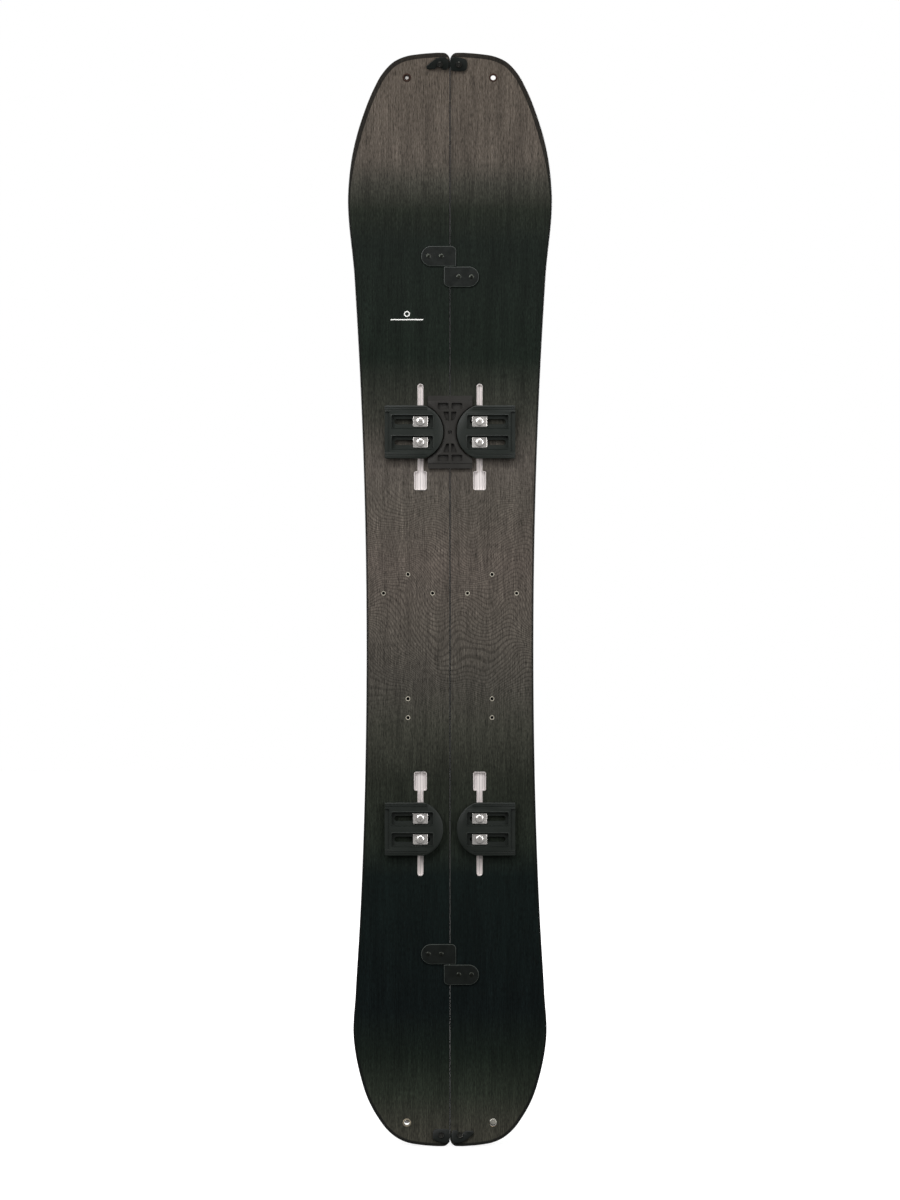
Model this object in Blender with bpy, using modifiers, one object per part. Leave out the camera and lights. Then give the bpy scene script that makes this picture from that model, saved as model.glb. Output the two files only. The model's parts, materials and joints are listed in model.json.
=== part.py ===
"""A splitboard standing on its tail: a snowboard in two halves with binding pucks, tip clips,
seam hooks and one climbing skin.

Metres, +Z up along the board. The seam lies in the plane X = 0, the topsheet faces -Y and the
base faces +Y. The tail end is at Z = 0 and the nose end at Z = LENGTH.
"""

import math

import bmesh
import bpy
from mathutils import Matrix, Vector

# ---- driving dimensions ----
LENGTH = 1.620
SEAM_CLEARANCE = 0.0003          # from the seam plane to each half
GAP = 0.0003                     # between pieces that touch
PAST = 0.001                     # how far a cutter or a joined block runs past the surface it meets
THROUGH = 0.02                   # half length of a cutter that goes right through the board's tips
CORNER_RADIUS = 0.011            # rounds each half's corners at the seam
MIDDLE_THICKNESS = 0.0092
TIP_THICKNESS = 0.0060
THICKNESS_RUN = 0.36             # length over which each end thickens
NOSE_RISE = 0.038
TAIL_RISE = 0.026
CAMBER = 0.004
CAMBER_RUN = 0.17
TAIL_CONTACT = 0.19
NOSE_CONTACT = 1.38
DEPTH_CENTRE = 0.02139           # shifts the board so that its depth is centred on Y = 0

# Outer edge of a half, tail to nose: (distance from the seam plane, height).
OUTLINE = [
    (0.0200, 0.0000), (0.0420, 0.0016), (0.0660, 0.0060), (0.0790, 0.0120),
    (0.0936, 0.0238), (0.1074, 0.0416), (0.1210, 0.0653), (0.1344, 0.1050),
    (0.1438, 0.1600), (0.1407, 0.2240), (0.1336, 0.3430), (0.1270, 0.5210),
    (0.1243, 0.7300), (0.1266, 0.9370), (0.1327, 1.1150), (0.1426, 1.2930),
    (0.1517, 1.4200), (0.1456, 1.4720), (0.1290, 1.5310), (0.1139, 1.5670),
    (0.1006, 1.5900), (0.0820, 1.6080), (0.0682, 1.6140), (0.0420, 1.6184),
    (0.0200, 1.6200),
]
FINE_STEP = 0.034                # outline spacing where the board bends
COARSE_STEP = 0.190              # outline spacing along its flat middle
STEP_TURN = math.radians(11)     # most that the outline turns in a step

# ---- laminate ----
BASE_THICKNESS = 0.0014
EDGE_WIDTH = 0.0023
EDGE_HEIGHT = 0.0020
SIDEWALL_WIDTH = 0.0040
TOPSHEET_THICKNESS = 0.0008
TOPSHEET_INSET = 0.0006          # from the steel edge's outside to the topsheet's rim
SIDEWALL_INSET = 0.0002

# ---- hardware places ----
INSERTS = [(0.0625, 0.848), (0.099, 0.820), (0.026, 0.820), (0.0625, 0.663), (0.0625, 0.635)]
INSERT_RADIUS = 0.0035
INSERT_DEPTH = 0.0055
SKIN_HOLE_X = 0.064
SKIN_HOLE_RADIUS = 0.0055
NOSE_HOLE_Z = 1.584
TAIL_HOLE_Z = 0.034

TRACK_X = 0.044
TRACKS = {"front": (0.9734, 1.1316), "rear": (0.5545, 0.3995)}    # wide end, narrow end
TRACK_WIDTH = 0.009
TRACK_ENTRY_WIDTH = 0.019
TRACK_ENTRY_LENGTH = 0.028
TRACK_DEPTH = 0.0055
TRACK_FLOOR = 0.0010
TRACK_WALL = 0.0010
TRACK_LIP = 0.0022               # rim left round the wide entry
TRACK_CORNER = 0.0025            # cuts off each corner of the entry
TRACK_SLANT = 0.0012             # how far the entry's shoulders slant into the narrow run

PUCK_Z = {"front": 1.0595, "rear": 0.470}
PUCK_INNER_X = 0.010
PUCK_OUTER_X = 0.0970
PUCK_HALF = 0.0395               # half its height along the board
PUCK_ARC_RADIUS = 0.0414
PUCK_WAIST_HALF = 0.0345         # half height under the rails
PUCK_HEIGHT = 0.0123
PUCK_FOOT_INSET = 0.0012         # the foot's outline stands this far inside the rails
RAIL_UNDERSIDE = 0.0072
POCKET_X = (0.0255, 0.0865)
POCKET_HALF = 0.0093
POCKET_FLOOR = 0.0060
SLOT_HALF = 0.0037
SLOT_END = 0.004                 # from a pocket's end to its slot's end
RAIL_LINE = (0.0035, 0.0055)     # a rail's groove, measured in from the puck's edge
RAIL_LINE_DEPTH = 0.0012
RAIL_LINE_START = 0.045
SCREW_PITCH = 0.031
WASHER_SIZE = (0.022, 0.0156)
WASHER_THICKNESS = 0.0020
SCREW_SHANK_RADIUS = 0.0030
SCREW_HEAD_RADIUS = 0.0063
SCREW_HEAD_HEIGHT = 0.0030
SCREW_RECESS_DEPTH = 0.0016

JIG_HALF_WIDTH = 0.033
JIG_HALF_LENGTH = 0.054
JIG_HEIGHT = 0.0070
JIG_CLEARANCE = 0.0012
JIG_RECESS_FLOOR = 0.0022
JIG_END_RECESS = ((0.0015, 0.0190), (0.034, 0.044))     # across and along, from the middle
JIG_INNER_RECESS = (0.0085, (0.017, 0.030))             # half width, and along
JIG_HOLE_HALF = 0.0024

HOOK_Z = {"nose": 1.306, "tail": 0.268}
HOOK_LENGTH = 0.043
HOOK_TONGUE = 0.009              # reach across the seam
HOOK_WIDTH = 0.0300
HOOK_THICKNESS = 0.0032
HOOK_SCREWS = (0.013, 0.032)
HOOK_BORE_RADIUS = 0.0023
HOOK_SPACING = 0.0004            # from the middle of a pair to each of its plates
HOOK_TIP_RADII = (0.007, 0.002)  # the tongue's two corners

CLIP_Z = {"nose": 1.6030, "tail": 0.0155}
CLIP_PIVOT_X = 0.0150
CLIP_KEEPER_BOLT_X = 0.0130
CLIP_HEIGHT = 0.0044
LEVER_LIFT = 0.0007              # keeps the lever's arm clear of the curved tip as it turns
CLIP_TONGUE = (0.0016, 0.0028)   # its underside and top
CLIP_ARM = 0.0205
CLIP_LOBE_RADIUS = 0.0092
CLIP_TONGUE_REACH = 0.0032       # past the seam
CLIP_TONGUE_ROOT = 0.004
KEEPER_SLOT_DEPTH = 0.0062
KEEPER_FAR_END = 0.0128
KEEPER_SIDES = (-0.0092, 0.0088)
KEEPER_CORNER = 0.003
CLIP_BOLT_RADIUS = 0.0024
CLIP_BORE_RADIUS = 0.0027
CLIP_BOLT_HEAD = 0.0046
TIP_PLATE_THICKNESS = 0.0012
TIP_PLATE_RECESS = 0.0015
TIP_PLATE_INSET = (0.0002, 0.0006)      # from the half's seam edge and from its tip
TIP_PLATE_BACK = 0.0165
TIP_PLATE_ENDS = {"nose": (0.0300, 0.0205), "tail": (0.0340, 0.0190)}      # at the tip, at the back

# Climbing skin: (seam side, outer side, height), for the half with negative X.
SKIN = [
    (0.0254, 0.0892, 0.1485), (0.0232, 0.0930, 0.1720), (0.0187, 0.0990, 0.2080),
    (0.0128, 0.1060, 0.2435), (0.0083, 0.1120, 0.2790), (0.0068, 0.1197, 0.3150),
    (0.0056, 0.1300, 0.3730), (0.0053, 0.1270, 0.4570), (0.0053, 0.1205, 0.6300),
    (0.0053, 0.1195, 0.7600), (0.0053, 0.1205, 0.8800), (0.0060, 0.1270, 1.0810),
    (0.0083, 0.1365, 1.2590), (0.0083, 0.1385, 1.3100), (0.0083, 0.1330, 1.3450),
    (0.0098, 0.1270, 1.3810), (0.0098, 0.1210, 1.4170), (0.0128, 0.1150, 1.4520),
    (0.0172, 0.1093, 1.4880), (0.0217, 0.1034, 1.5230), (0.0270, 0.0979, 1.5560),
]
SKIN_THICKNESS = 0.0030
CONNECTOR_X = (0.0330, 0.0920)
CONNECTOR_Z = (1.5563, 1.5790)
CONNECTOR_THICKNESS = 0.0045
TAIL_STRAP_HALF = 0.009
TAIL_STRAP_Z = (0.0598, 0.1482)
TAIL_STRAP_THICKNESS = 0.0016
BUCKLE_HINGE_Z = 0.0635
BUCKLE_THICKNESS = 0.0022
BUCKLE_LIFT = 0.0006
BUCKLE_TIP_RADIUS = 0.0019
SKIN_CLEARANCE = 0.0004          # from the base to the skin's pieces
PIN_RADIUS = 0.0030
PIN_HEAD_RADIUS = 0.0044

# ---- skin holes' bushes ----
BUSH_RADIUS = 0.0052
BUSH_BORE_RADIUS = 0.0038
BUSH_PROUD = 0.0016              # how far it stands past the topsheet
BUSH_SUNK = 0.0016               # how far it stops short of the base's face
BUTTON_PROUD = 0.0012            # how far the button stands past the base

FINISHES = {
    # name: (red, green, blue, roughness, metallic)
    "veneer": (0.075, 0.066, 0.055, 0.55, 0.0),
    "wood_core": (0.62, 0.47, 0.28, 0.60, 0.0),
    "sidewall": (0.015, 0.016, 0.015, 0.45, 0.0),
    "base": (0.018, 0.020, 0.019, 0.28, 0.0),
    "edge_steel": (0.55, 0.55, 0.54, 0.30, 1.0),
    "track_metal": (0.70, 0.68, 0.66, 0.30, 1.0),
    "bright_steel": (0.74, 0.72, 0.70, 0.22, 1.0),
    "nylon": (0.016, 0.019, 0.015, 0.45, 0.0),
    "hook_plate": (0.016, 0.019, 0.018, 0.40, 0.3),
    "tip_metal": (0.16, 0.16, 0.15, 0.38, 0.8),
    "eyelet": (0.10, 0.07, 0.05, 0.45, 0.6),
    "plush": (0.38, 0.55, 0.05, 0.90, 0.0),
    "rubber": (0.012, 0.012, 0.013, 0.55, 0.0),
    "webbing": (0.012, 0.013, 0.012, 0.80, 0.0),
}
SIDES = {"left": -1, "right": 1}


# ---- scene helpers ----
def clear_scene():
    for old in list(bpy.data.objects):
        bpy.data.objects.remove(old)


def new_collection(name):
    made = bpy.data.collections.new(name)
    bpy.context.scene.collection.children.link(made)
    return made


def make_finishes():
    made = {}
    for name, (red, green, blue, roughness, metallic) in FINISHES.items():
        finish = bpy.data.materials.new(name)
        finish.use_nodes = True
        shader = finish.node_tree.nodes["Principled BSDF"]
        shader.inputs["Base Color"].default_value = (red, green, blue, 1)
        shader.inputs["Roughness"].default_value = roughness
        shader.inputs["Metallic"].default_value = metallic
        finish.diffuse_color = (red, green, blue, 1)
        made[name] = finish
    return made


def add_object(name, mesh, finish, smooth=True):
    """A part from a bmesh; with no finish it is a cutter."""
    bmesh.ops.recalc_face_normals(mesh, faces=mesh.faces)
    data = bpy.data.meshes.new(name)
    mesh.to_mesh(data)
    mesh.free()
    made = bpy.data.objects.new(name, data)
    if finish is None:
        CUTTERS.objects.link(made)
        made.hide_render = True
        made.display_type = "WIRE"
    else:
        PARTS.objects.link(made)
        data.materials.append(MATERIALS[finish])
    if finish and smooth:
        data.shade_smooth()
        data.set_sharp_from_angle(angle=math.radians(32))
    return made


def boolean(target, tool, operation="DIFFERENCE"):
    step = target.modifiers.new(tool.name, "BOOLEAN")
    step.operation = operation
    step.object = tool


def place(thing, frame):
    thing.matrix_world = frame
    return thing


# ---- the board's curves ----
def ease(share):
    share = min(max(share, 0.0), 1.0)
    return share * share * (3 - 2 * share)


def rise(z):
    """How far the base stands off the plane of its contact points, towards the topsheet."""
    nose = max(0.0, (z - NOSE_CONTACT) / (LENGTH - NOSE_CONTACT))
    tail = max(0.0, (TAIL_CONTACT - z) / TAIL_CONTACT)
    arch = ease((z - TAIL_CONTACT) / CAMBER_RUN) * ease((NOSE_CONTACT - z) / CAMBER_RUN)
    return CAMBER * arch + NOSE_RISE * nose ** 2 + TAIL_RISE * tail ** 2


def thickness(z):
    share = ease(min(z, LENGTH - z) / THICKNESS_RUN)
    return TIP_THICKNESS + (MIDDLE_THICKNESS - TIP_THICKNESS) * share


def above_base(distance):
    return lambda z: distance


def below_top(distance):
    return lambda z: thickness(z) - distance


def depth_at(z, level):
    """Y of a surface whose level is measured from the base towards the topsheet."""
    return DEPTH_CENTRE - rise(z) - level(z)


def steps_between(start, end, turn=0.0):
    """How many straight steps a stretch along the board takes, more where it bends or turns."""
    low, high = sorted((start, end))
    flat = low >= TAIL_CONTACT + CAMBER_RUN and high <= NOSE_CONTACT - CAMBER_RUN
    by_length = round((high - low) / (COARSE_STEP if flat else FINE_STEP))
    return max(1, by_length, round(turn / STEP_TURN))


def smooth_curve(points):
    """Points along a curve through the given ones, closer together where the board bends."""
    points = [Vector(p) for p in points]
    spans = [(b - a).length for a, b in zip(points, points[1:])]
    slopes = []
    for i, point in enumerate(points):
        before = (point - points[i - 1]) / spans[i - 1] if i else None
        after = (points[i + 1] - point) / spans[i] if i < len(spans) else None
        if before is None or after is None:
            slopes.append(before or after)
            continue
        total = spans[i - 1] + spans[i]
        slopes.append((before * spans[i] + after * spans[i - 1]) / total)
    curve = []
    for i, span in enumerate(spans):
        turn = slopes[i].angle(slopes[i + 1])
        steps = steps_between(points[i].y, points[i + 1].y, turn)
        for step in range(steps):
            t = step / steps
            curve.append(
                points[i] * (2 * t ** 3 - 3 * t ** 2 + 1)
                + points[i + 1] * (3 * t ** 2 - 2 * t ** 3)
                + slopes[i] * span * (t ** 3 - 2 * t ** 2 + t)
                + slopes[i + 1] * span * (t ** 3 - t ** 2)
            )
    return curve + [points[-1]]


def outer_edge(inset):
    """The outer edge drawn in at right angles, as points (distance from the seam plane, height)."""
    curve = smooth_curve(OUTLINE)
    drawn_in = []
    for i, point in enumerate(curve):
        along = (curve[min(i + 1, len(curve) - 1)] - curve[max(i - 1, 0)]).normalized()
        drawn_in.append(point - inset * Vector((along.y, -along.x)))
    drawn_in[0].y = inset
    drawn_in[-1].y = LENGTH - inset
    return drawn_in


def seam_edge(z, inset):
    """Distance from the seam plane to a half's inner edge, whose two corners are rounded."""
    straight = SEAM_CLEARANCE + inset
    into_corner = CORNER_RADIUS - min(z, LENGTH - z)
    if into_corner <= 0:
        return straight
    radius = CORNER_RADIUS - inset
    return straight + radius - math.sqrt(max(radius ** 2 - into_corner ** 2, 0.0))


def ring_of(inset):
    """Closed outline of a half: up the outer edge, then down the seam edge."""
    outer = outer_edge(inset)
    inner = [Vector((seam_edge(p.y, inset), p.y)) for p in reversed(outer)]
    return outer + inner


# ---- solids ----
def loft(name, sections, closed, finish):
    """A solid through four-cornered sections, end to end or round in a ring."""
    mesh = bmesh.new()
    rows = [[mesh.verts.new(corner) for corner in section] for section in sections]
    following = rows[1:] + rows[:1] if closed else rows[1:]
    for row, after in zip(rows, following):
        for i in range(4):
            j = (i + 1) % 4
            mesh.faces.new((row[i], row[j], after[j], after[i]))
    if not closed:
        mesh.faces.new(rows[0])
        mesh.faces.new(rows[-1])
    return add_object(name, mesh, finish, smooth=False)


def plate_between(name, side, edges, low, high, finish):
    """A sheet that follows the board, from (inner, outer, height) triples."""
    sections = [
        [
            (side * inner, depth_at(z, low), z),
            (side * outer, depth_at(z, low), z),
            (side * outer, depth_at(z, high), z),
            (side * inner, depth_at(z, high), z),
        ]
        for inner, outer, z in edges
    ]
    return loft(name, sections, False, finish)


def board_layer(name, side, inset, low, high, finish):
    edges = [(seam_edge(p.y, inset), p.x, p.y) for p in outer_edge(inset)]
    return plate_between(name, side, edges, low, high, finish)


def board_rim(name, side, outside, inside, low, high, finish):
    """A closed rim round a half, between two insets."""
    sections = [
        [
            (side * a.x, depth_at(a.y, low), a.y),
            (side * a.x, depth_at(a.y, high), a.y),
            (side * b.x, depth_at(b.y, high), b.y),
            (side * b.x, depth_at(b.y, low), b.y),
        ]
        for a, b in zip(ring_of(outside), ring_of(inside))
    ]
    return loft(name, sections, True, finish)


def surface_frame(z, level, x=0.0, turned=0.0):
    """Frame on a surface of the board: its X lies across, its Y along and its Z out of the topsheet."""
    step = 0.001
    slope = (rise(z + step) + level(z + step) - rise(z - step) - level(z - step)) / (2 * step)
    upright = Matrix.Rotation(math.pi / 2 + math.atan(slope), 4, "X")
    spot = Matrix.Translation((x, depth_at(z, level), z))
    return spot @ upright @ Matrix.Rotation(turned, 4, "Z")


def top_frame(z, x=0.0, turned=0.0):
    return surface_frame(z, below_top(0.0), x, turned)


def slab(name, outline, low, high, finish):
    """A flat outline given thickness between two heights, made as a filled curve."""
    curve = bpy.data.curves.new(name, "CURVE")
    curve.dimensions = "2D"
    curve.fill_mode = "BOTH"
    curve.extrude = (high - low) / 2
    spline = curve.splines.new("POLY")
    spline.points.add(len(outline) - 1)
    for point, (x, y) in zip(spline.points, outline):
        point.co = (x, y, 0, 1)
    spline.use_cyclic_u = True
    drawn = bpy.data.objects.new(name, curve)
    PARTS.objects.link(drawn)
    bpy.context.view_layer.update()
    graph = bpy.context.evaluated_depsgraph_get()
    data = bpy.data.meshes.new_from_object(drawn.evaluated_get(graph))
    bpy.data.objects.remove(drawn)
    mesh = bmesh.new()
    mesh.from_mesh(data)
    bpy.data.meshes.remove(data)
    bmesh.ops.remove_doubles(mesh, verts=mesh.verts, dist=1e-6)
    bmesh.ops.translate(mesh, verts=mesh.verts, vec=(0, 0, (high + low) / 2))
    return add_object(name, mesh, finish)


def drills(name, holes, segments=12):
    """One cutter with a round bar for each (x, y, radius, low, high)."""
    mesh = bmesh.new()
    for x, y, radius, low, high in holes:
        middle = Matrix.Translation((x, y, (low + high) / 2))
        bmesh.ops.create_cone(
            mesh, cap_ends=True, segments=segments, radius1=radius, radius2=radius,
            depth=high - low, matrix=middle,
        )
    return add_object(name, mesh, None)


def blocks(name, boxes):
    """One cutter with a block for each (x range, y range, z range)."""
    mesh = bmesh.new()
    for ranges in boxes:
        centre = [(low + high) / 2 for low, high in ranges]
        size = [high - low for low, high in ranges]
        matrix = Matrix.Translation(centre) @ Matrix.Diagonal((*size, 1))
        bmesh.ops.create_cube(mesh, size=1, matrix=matrix)
    return add_object(name, mesh, None)


def turned(name, profile, finish, steps=14):
    """A solid turned about Z from a profile of (radius, height), top to bottom on its outer side."""
    mesh = bmesh.new()
    verts = [mesh.verts.new((radius, 0, height)) for radius, height in profile]
    for a, b in zip(verts, verts[1:]):
        mesh.edges.new((a, b))
    if profile[0][0] > 0:
        mesh.edges.new((verts[-1], verts[0]))
    made = add_object(name, mesh, finish)
    screw = made.modifiers.new("turn", "SCREW")
    screw.axis = "Z"
    screw.steps = steps
    screw.render_steps = steps
    screw.use_merge_vertices = True
    screw.merge_threshold = 0.00001
    screw.use_smooth_shade = False
    return made


def rounded(corners, radius, steps=3):
    """A polygon's outline with each corner rounded to the radius."""
    outline = []
    for i, corner in enumerate(corners):
        corner = Vector(corner)
        back = (Vector(corners[i - 1]) - corner).normalized()
        ahead = (Vector(corners[(i + 1) % len(corners)]) - corner).normalized()
        half = back.angle(ahead) / 2
        reach = radius / math.tan(half)
        centre = corner + (back + ahead).normalized() * radius / math.sin(half)
        start = corner + back * reach - centre
        sweep = start.angle_signed(corner + ahead * reach - centre)
        for step in range(steps + 1):
            turn = Matrix.Rotation(-sweep * step / steps, 2)
            outline.append(tuple(centre + turn @ start))
    return outline


def arc(centre, radius, start, end, steps):
    """Points of an arc between two angles in radians."""
    angles = [start + (end - start) * step / steps for step in range(steps + 1)]
    return [(centre[0] + radius * math.cos(a), centre[1] + radius * math.sin(a)) for a in angles]


def mirrored(outline, side):
    return [(side * x, y) for x, y in outline]


# ---- the two halves ----
def keyhole(wide_end, narrow_end, grow):
    """A track's outline: a wide entry, then a narrow run with a round end."""
    direction = 1 if narrow_end > wide_end else -1
    half = TRACK_WIDTH / 2 + grow
    entry = TRACK_ENTRY_WIDTH / 2 + grow
    start = wide_end - direction * grow
    shoulder = wide_end + direction * (TRACK_ENTRY_LENGTH + grow)
    tip = narrow_end - direction * TRACK_WIDTH / 2
    corner = TRACK_CORNER
    neck = shoulder + direction * TRACK_SLANT
    points = [
        (half, neck), (entry, shoulder - direction * corner),
        (entry, start + direction * corner), (entry - corner, start),
        (corner - entry, start), (-entry, start + direction * corner),
        (-entry, shoulder - direction * corner), (-half, neck),
    ]
    points += arc((0, tip), half, math.pi, math.pi * (1 - direction), 6)
    return points


def make_half(side_name):
    side = SIDES[side_name]
    under_top = TOPSHEET_THICKNESS + GAP
    base = board_layer(
        f"{side_name}_base", side, EDGE_WIDTH + GAP, above_base(0), above_base(BASE_THICKNESS),
        "base",
    )
    edge = board_rim(
        f"{side_name}_steel_edge", side, 0, EDGE_WIDTH, above_base(0), above_base(EDGE_HEIGHT),
        "edge_steel",
    )
    board_rim(
        f"{side_name}_sidewall", side, SIDEWALL_INSET, SIDEWALL_WIDTH,
        above_base(EDGE_HEIGHT + GAP), below_top(under_top), "sidewall",
    )
    core = board_layer(
        f"{side_name}_core", side, SIDEWALL_WIDTH + GAP, above_base(BASE_THICKNESS + GAP),
        below_top(under_top), "wood_core",
    )
    topsheet = board_layer(
        f"{side_name}_topsheet", side, TOPSHEET_INSET, below_top(TOPSHEET_THICKNESS),
        below_top(0), "veneer",
    )
    for end, (wide_end, narrow_end) in TRACKS.items():
        middle = (wide_end + narrow_end) / 2
        outline = keyhole(wide_end - middle, narrow_end - middle, GAP)
        pocket = slab(
            f"{side_name}_{end}_track_pocket", outline, -TRACK_DEPTH - GAP, PAST, None
        )
        place(pocket, top_frame(middle, side * TRACK_X))
        boolean(core, pocket)
        boolean(topsheet, pocket)
    insert_holes = [(side * x, z, INSERT_RADIUS, -INSERT_DEPTH, PAST) for x, z in INSERTS]
    blind = drills(f"{side_name}_insert_holes", insert_holes, 10)
    flat_top = depth_at(PUCK_Z["rear"], below_top(0))
    place(blind, Matrix.Translation((0, flat_top, 0)) @ Matrix.Rotation(math.pi / 2, 4, "X"))
    boolean(core, blind)
    boolean(topsheet, blind)
    through = [
        (side * SKIN_HOLE_X, z, SKIN_HOLE_RADIUS, -THROUGH, THROUGH)
        for z in (NOSE_HOLE_Z, TAIL_HOLE_Z)
    ]
    skin_holes = drills(f"{side_name}_skin_holes", through)
    place(skin_holes, Matrix.Rotation(math.pi / 2, 4, "X"))
    cut_all = [base, core, topsheet]
    for part in cut_all:
        boolean(part, skin_holes)
    for end, z in CLIP_Z.items():
        pocket = slab(
            f"{side_name}_{end}_tip_recess", tip_plate_outline(end, GAP),
            -2 * PAST, TIP_PLATE_RECESS, None,
        )
        place(pocket, plate_frame(end, side))
        boolean(base, pocket)
        boolean(edge, pocket)
        hole = (0, 0, CLIP_BORE_RADIUS, -THROUGH, THROUGH)
        bore = drills(f"{side_name}_{end}_clip_bore", [hole], 10)
        place(bore, top_frame(z, clip_bolt_x(end, side_name)))
        for part in cut_all:
            boolean(part, bore)


# ---- tip plates and clips ----
def clip_bolt_x(end, side_name):
    """The lever pivots on the left half at the nose and on the right half at the tail."""
    has_lever = (end == "nose") == (side_name == "left")
    return SIDES[side_name] * (CLIP_PIVOT_X if has_lever else CLIP_KEEPER_BOLT_X)


def tip_plate_outline(end, grow):
    """Plan of the plate let into a half's base corner, for the right half, growing from its middle."""
    from_seam, from_tip = TIP_PLATE_INSET
    seam = SEAM_CLEARANCE + from_seam - grow
    tip = from_tip - grow
    at_tip, at_back = TIP_PLATE_ENDS[end]
    back = TIP_PLATE_BACK + grow
    radius = CORNER_RADIUS - from_seam + grow
    corner = arc((seam + radius, tip + radius), radius, math.pi, math.pi * 1.5, 5)
    slant = 1.6 * grow               # keeps the slanting end about parallel as it grows
    outline = [(seam, back)] + corner + [(at_tip + slant, tip), (at_back + slant, back)]
    if end == "nose":
        outline = [(x, LENGTH - y) for x, y in outline]
    return [(x, y - CLIP_Z[end]) for x, y in outline]


def plate_frame(end, side):
    """Frame on the base under a clip, mirrored for the left half."""
    frame = surface_frame(CLIP_Z[end], above_base(0))
    return frame @ Matrix.Diagonal((side, 1, 1, 1))


def make_tip_plate(end, side_name):
    side = SIDES[side_name]
    frame = plate_frame(end, side)
    plate = slab(
        f"{side_name}_{end}_tip_plate", tip_plate_outline(end, 0), 0, TIP_PLATE_THICKNESS,
        "tip_metal",
    )
    plate.data.transform(Matrix.Diagonal((side, 1, 1, 1)))
    if side < 0:
        plate.data.flip_normals()
    place(plate, surface_frame(CLIP_Z[end], above_base(0)))
    hole = (0, 0, CLIP_BORE_RADIUS, -THROUGH, THROUGH)
    bore = drills(f"{side_name}_{end}_plate_bore", [hole], 10)
    place(bore, top_frame(CLIP_Z[end], clip_bolt_x(end, side_name)))
    boolean(plate, bore)


def make_clip(end):
    """The lever, its keeper and their two bolts. The tail's clip is the nose's turned half round."""
    turn = 0.0 if end == "nose" else math.pi
    z = CLIP_Z[end]
    lever_side = -1 if end == "nose" else 1
    pivot_frame = top_frame(z, lever_side * CLIP_PIVOT_X, turn)
    body = arc((0, 0), CLIP_LOBE_RADIUS, math.radians(-52), math.radians(115), 8)
    body += [(-0.0090, 0.0060), (-CLIP_ARM, -0.0035), (-CLIP_ARM + 0.0012, -0.0064)]
    lever = slab(f"{end}_clip_lever", body, LEVER_LIFT, CLIP_HEIGHT, "hook_plate")
    place(lever, pivot_frame)
    low, high = CLIP_TONGUE
    root, reach = CLIP_TONGUE_ROOT, CLIP_PIVOT_X + CLIP_TONGUE_REACH
    outline = [(root, -0.004), (reach, -0.003), (reach, 0.003), (root, 0.004)]
    tongue = slab(f"{end}_clip_tongue", outline, low, high, None)
    place(tongue, pivot_frame)
    boolean(lever, tongue, "UNION")
    hole = (0, 0, CLIP_BORE_RADIUS, -PAST, 2 * CLIP_HEIGHT)
    bore = drills(f"{end}_lever_bore", [hole])
    place(bore, pivot_frame)
    boolean(lever, bore)

    keeper_frame = top_frame(z, -lever_side * CLIP_KEEPER_BOLT_X, turn)
    near, far = -CLIP_KEEPER_BOLT_X + 0.0005, KEEPER_FAR_END
    front, back = KEEPER_SIDES
    outline = rounded([(near, front), (far, front), (far, back), (near, back)], KEEPER_CORNER)
    keeper = slab(f"{end}_clip_keeper", outline, GAP, CLIP_HEIGHT, "hook_plate")
    place(keeper, keeper_frame)
    opening = ((near - PAST, near + KEEPER_SLOT_DEPTH), (-THROUGH, THROUGH), (low - GAP, high + GAP))
    slot = blocks(f"{end}_keeper_slot", [opening])
    place(slot, keeper_frame)
    boolean(keeper, slot)
    bore = drills(f"{end}_keeper_bore", [hole])
    place(bore, keeper_frame)
    boolean(keeper, bore)

    end_of_shank = -thickness(z) + 0.0002
    rim, crown = CLIP_HEIGHT + 0.0012, CLIP_HEIGHT + 0.0022
    profile = [
        (0, rim), (0.0014, rim), (0.0014, crown), (CLIP_BOLT_HEAD - 0.001, crown),
        (CLIP_BOLT_HEAD, rim), (CLIP_BOLT_HEAD, CLIP_HEIGHT + GAP),
        (CLIP_BOLT_RADIUS, CLIP_HEIGHT + GAP), (CLIP_BOLT_RADIUS, end_of_shank),
        (0, end_of_shank),
    ]
    place(turned(f"{end}_clip_lever_bolt", profile, "bright_steel", 12), pivot_frame)
    place(turned(f"{end}_clip_keeper_bolt", profile, "bright_steel", 12), keeper_frame)


# ---- binding tracks and pucks ----
def make_track(end, side_name):
    wide_end, narrow_end = TRACKS[end]
    middle = (wide_end + narrow_end) / 2
    direction = 1 if narrow_end > wide_end else -1
    outline = keyhole(wide_end - middle, narrow_end - middle, 0)
    track = slab(f"{side_name}_{end}_track", outline, -TRACK_DEPTH, 0, "track_metal")
    frame = top_frame(middle, SIDES[side_name] * TRACK_X)
    place(track, frame)
    half = TRACK_WIDTH / 2 - TRACK_WALL
    entry = TRACK_ENTRY_WIDTH / 2 - TRACK_LIP
    start = wide_end - middle + direction * TRACK_LIP
    shoulder = start + direction * (TRACK_ENTRY_LENGTH - 2 * TRACK_LIP)
    tip = narrow_end - middle - direction * (half + TRACK_WALL)
    channel = [
        (half, shoulder), (entry, shoulder - direction * 0.0028), (entry, start),
        (-entry, start), (-entry, shoulder - direction * 0.0028), (-half, shoulder),
    ]
    channel += arc((0, tip), half, math.pi, math.pi * (1 - direction), 6)
    groove = slab(
        f"{side_name}_{end}_track_groove", channel, TRACK_FLOOR - TRACK_DEPTH, PAST, None
    )
    place(groove, frame)
    boolean(track, groove)


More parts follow.
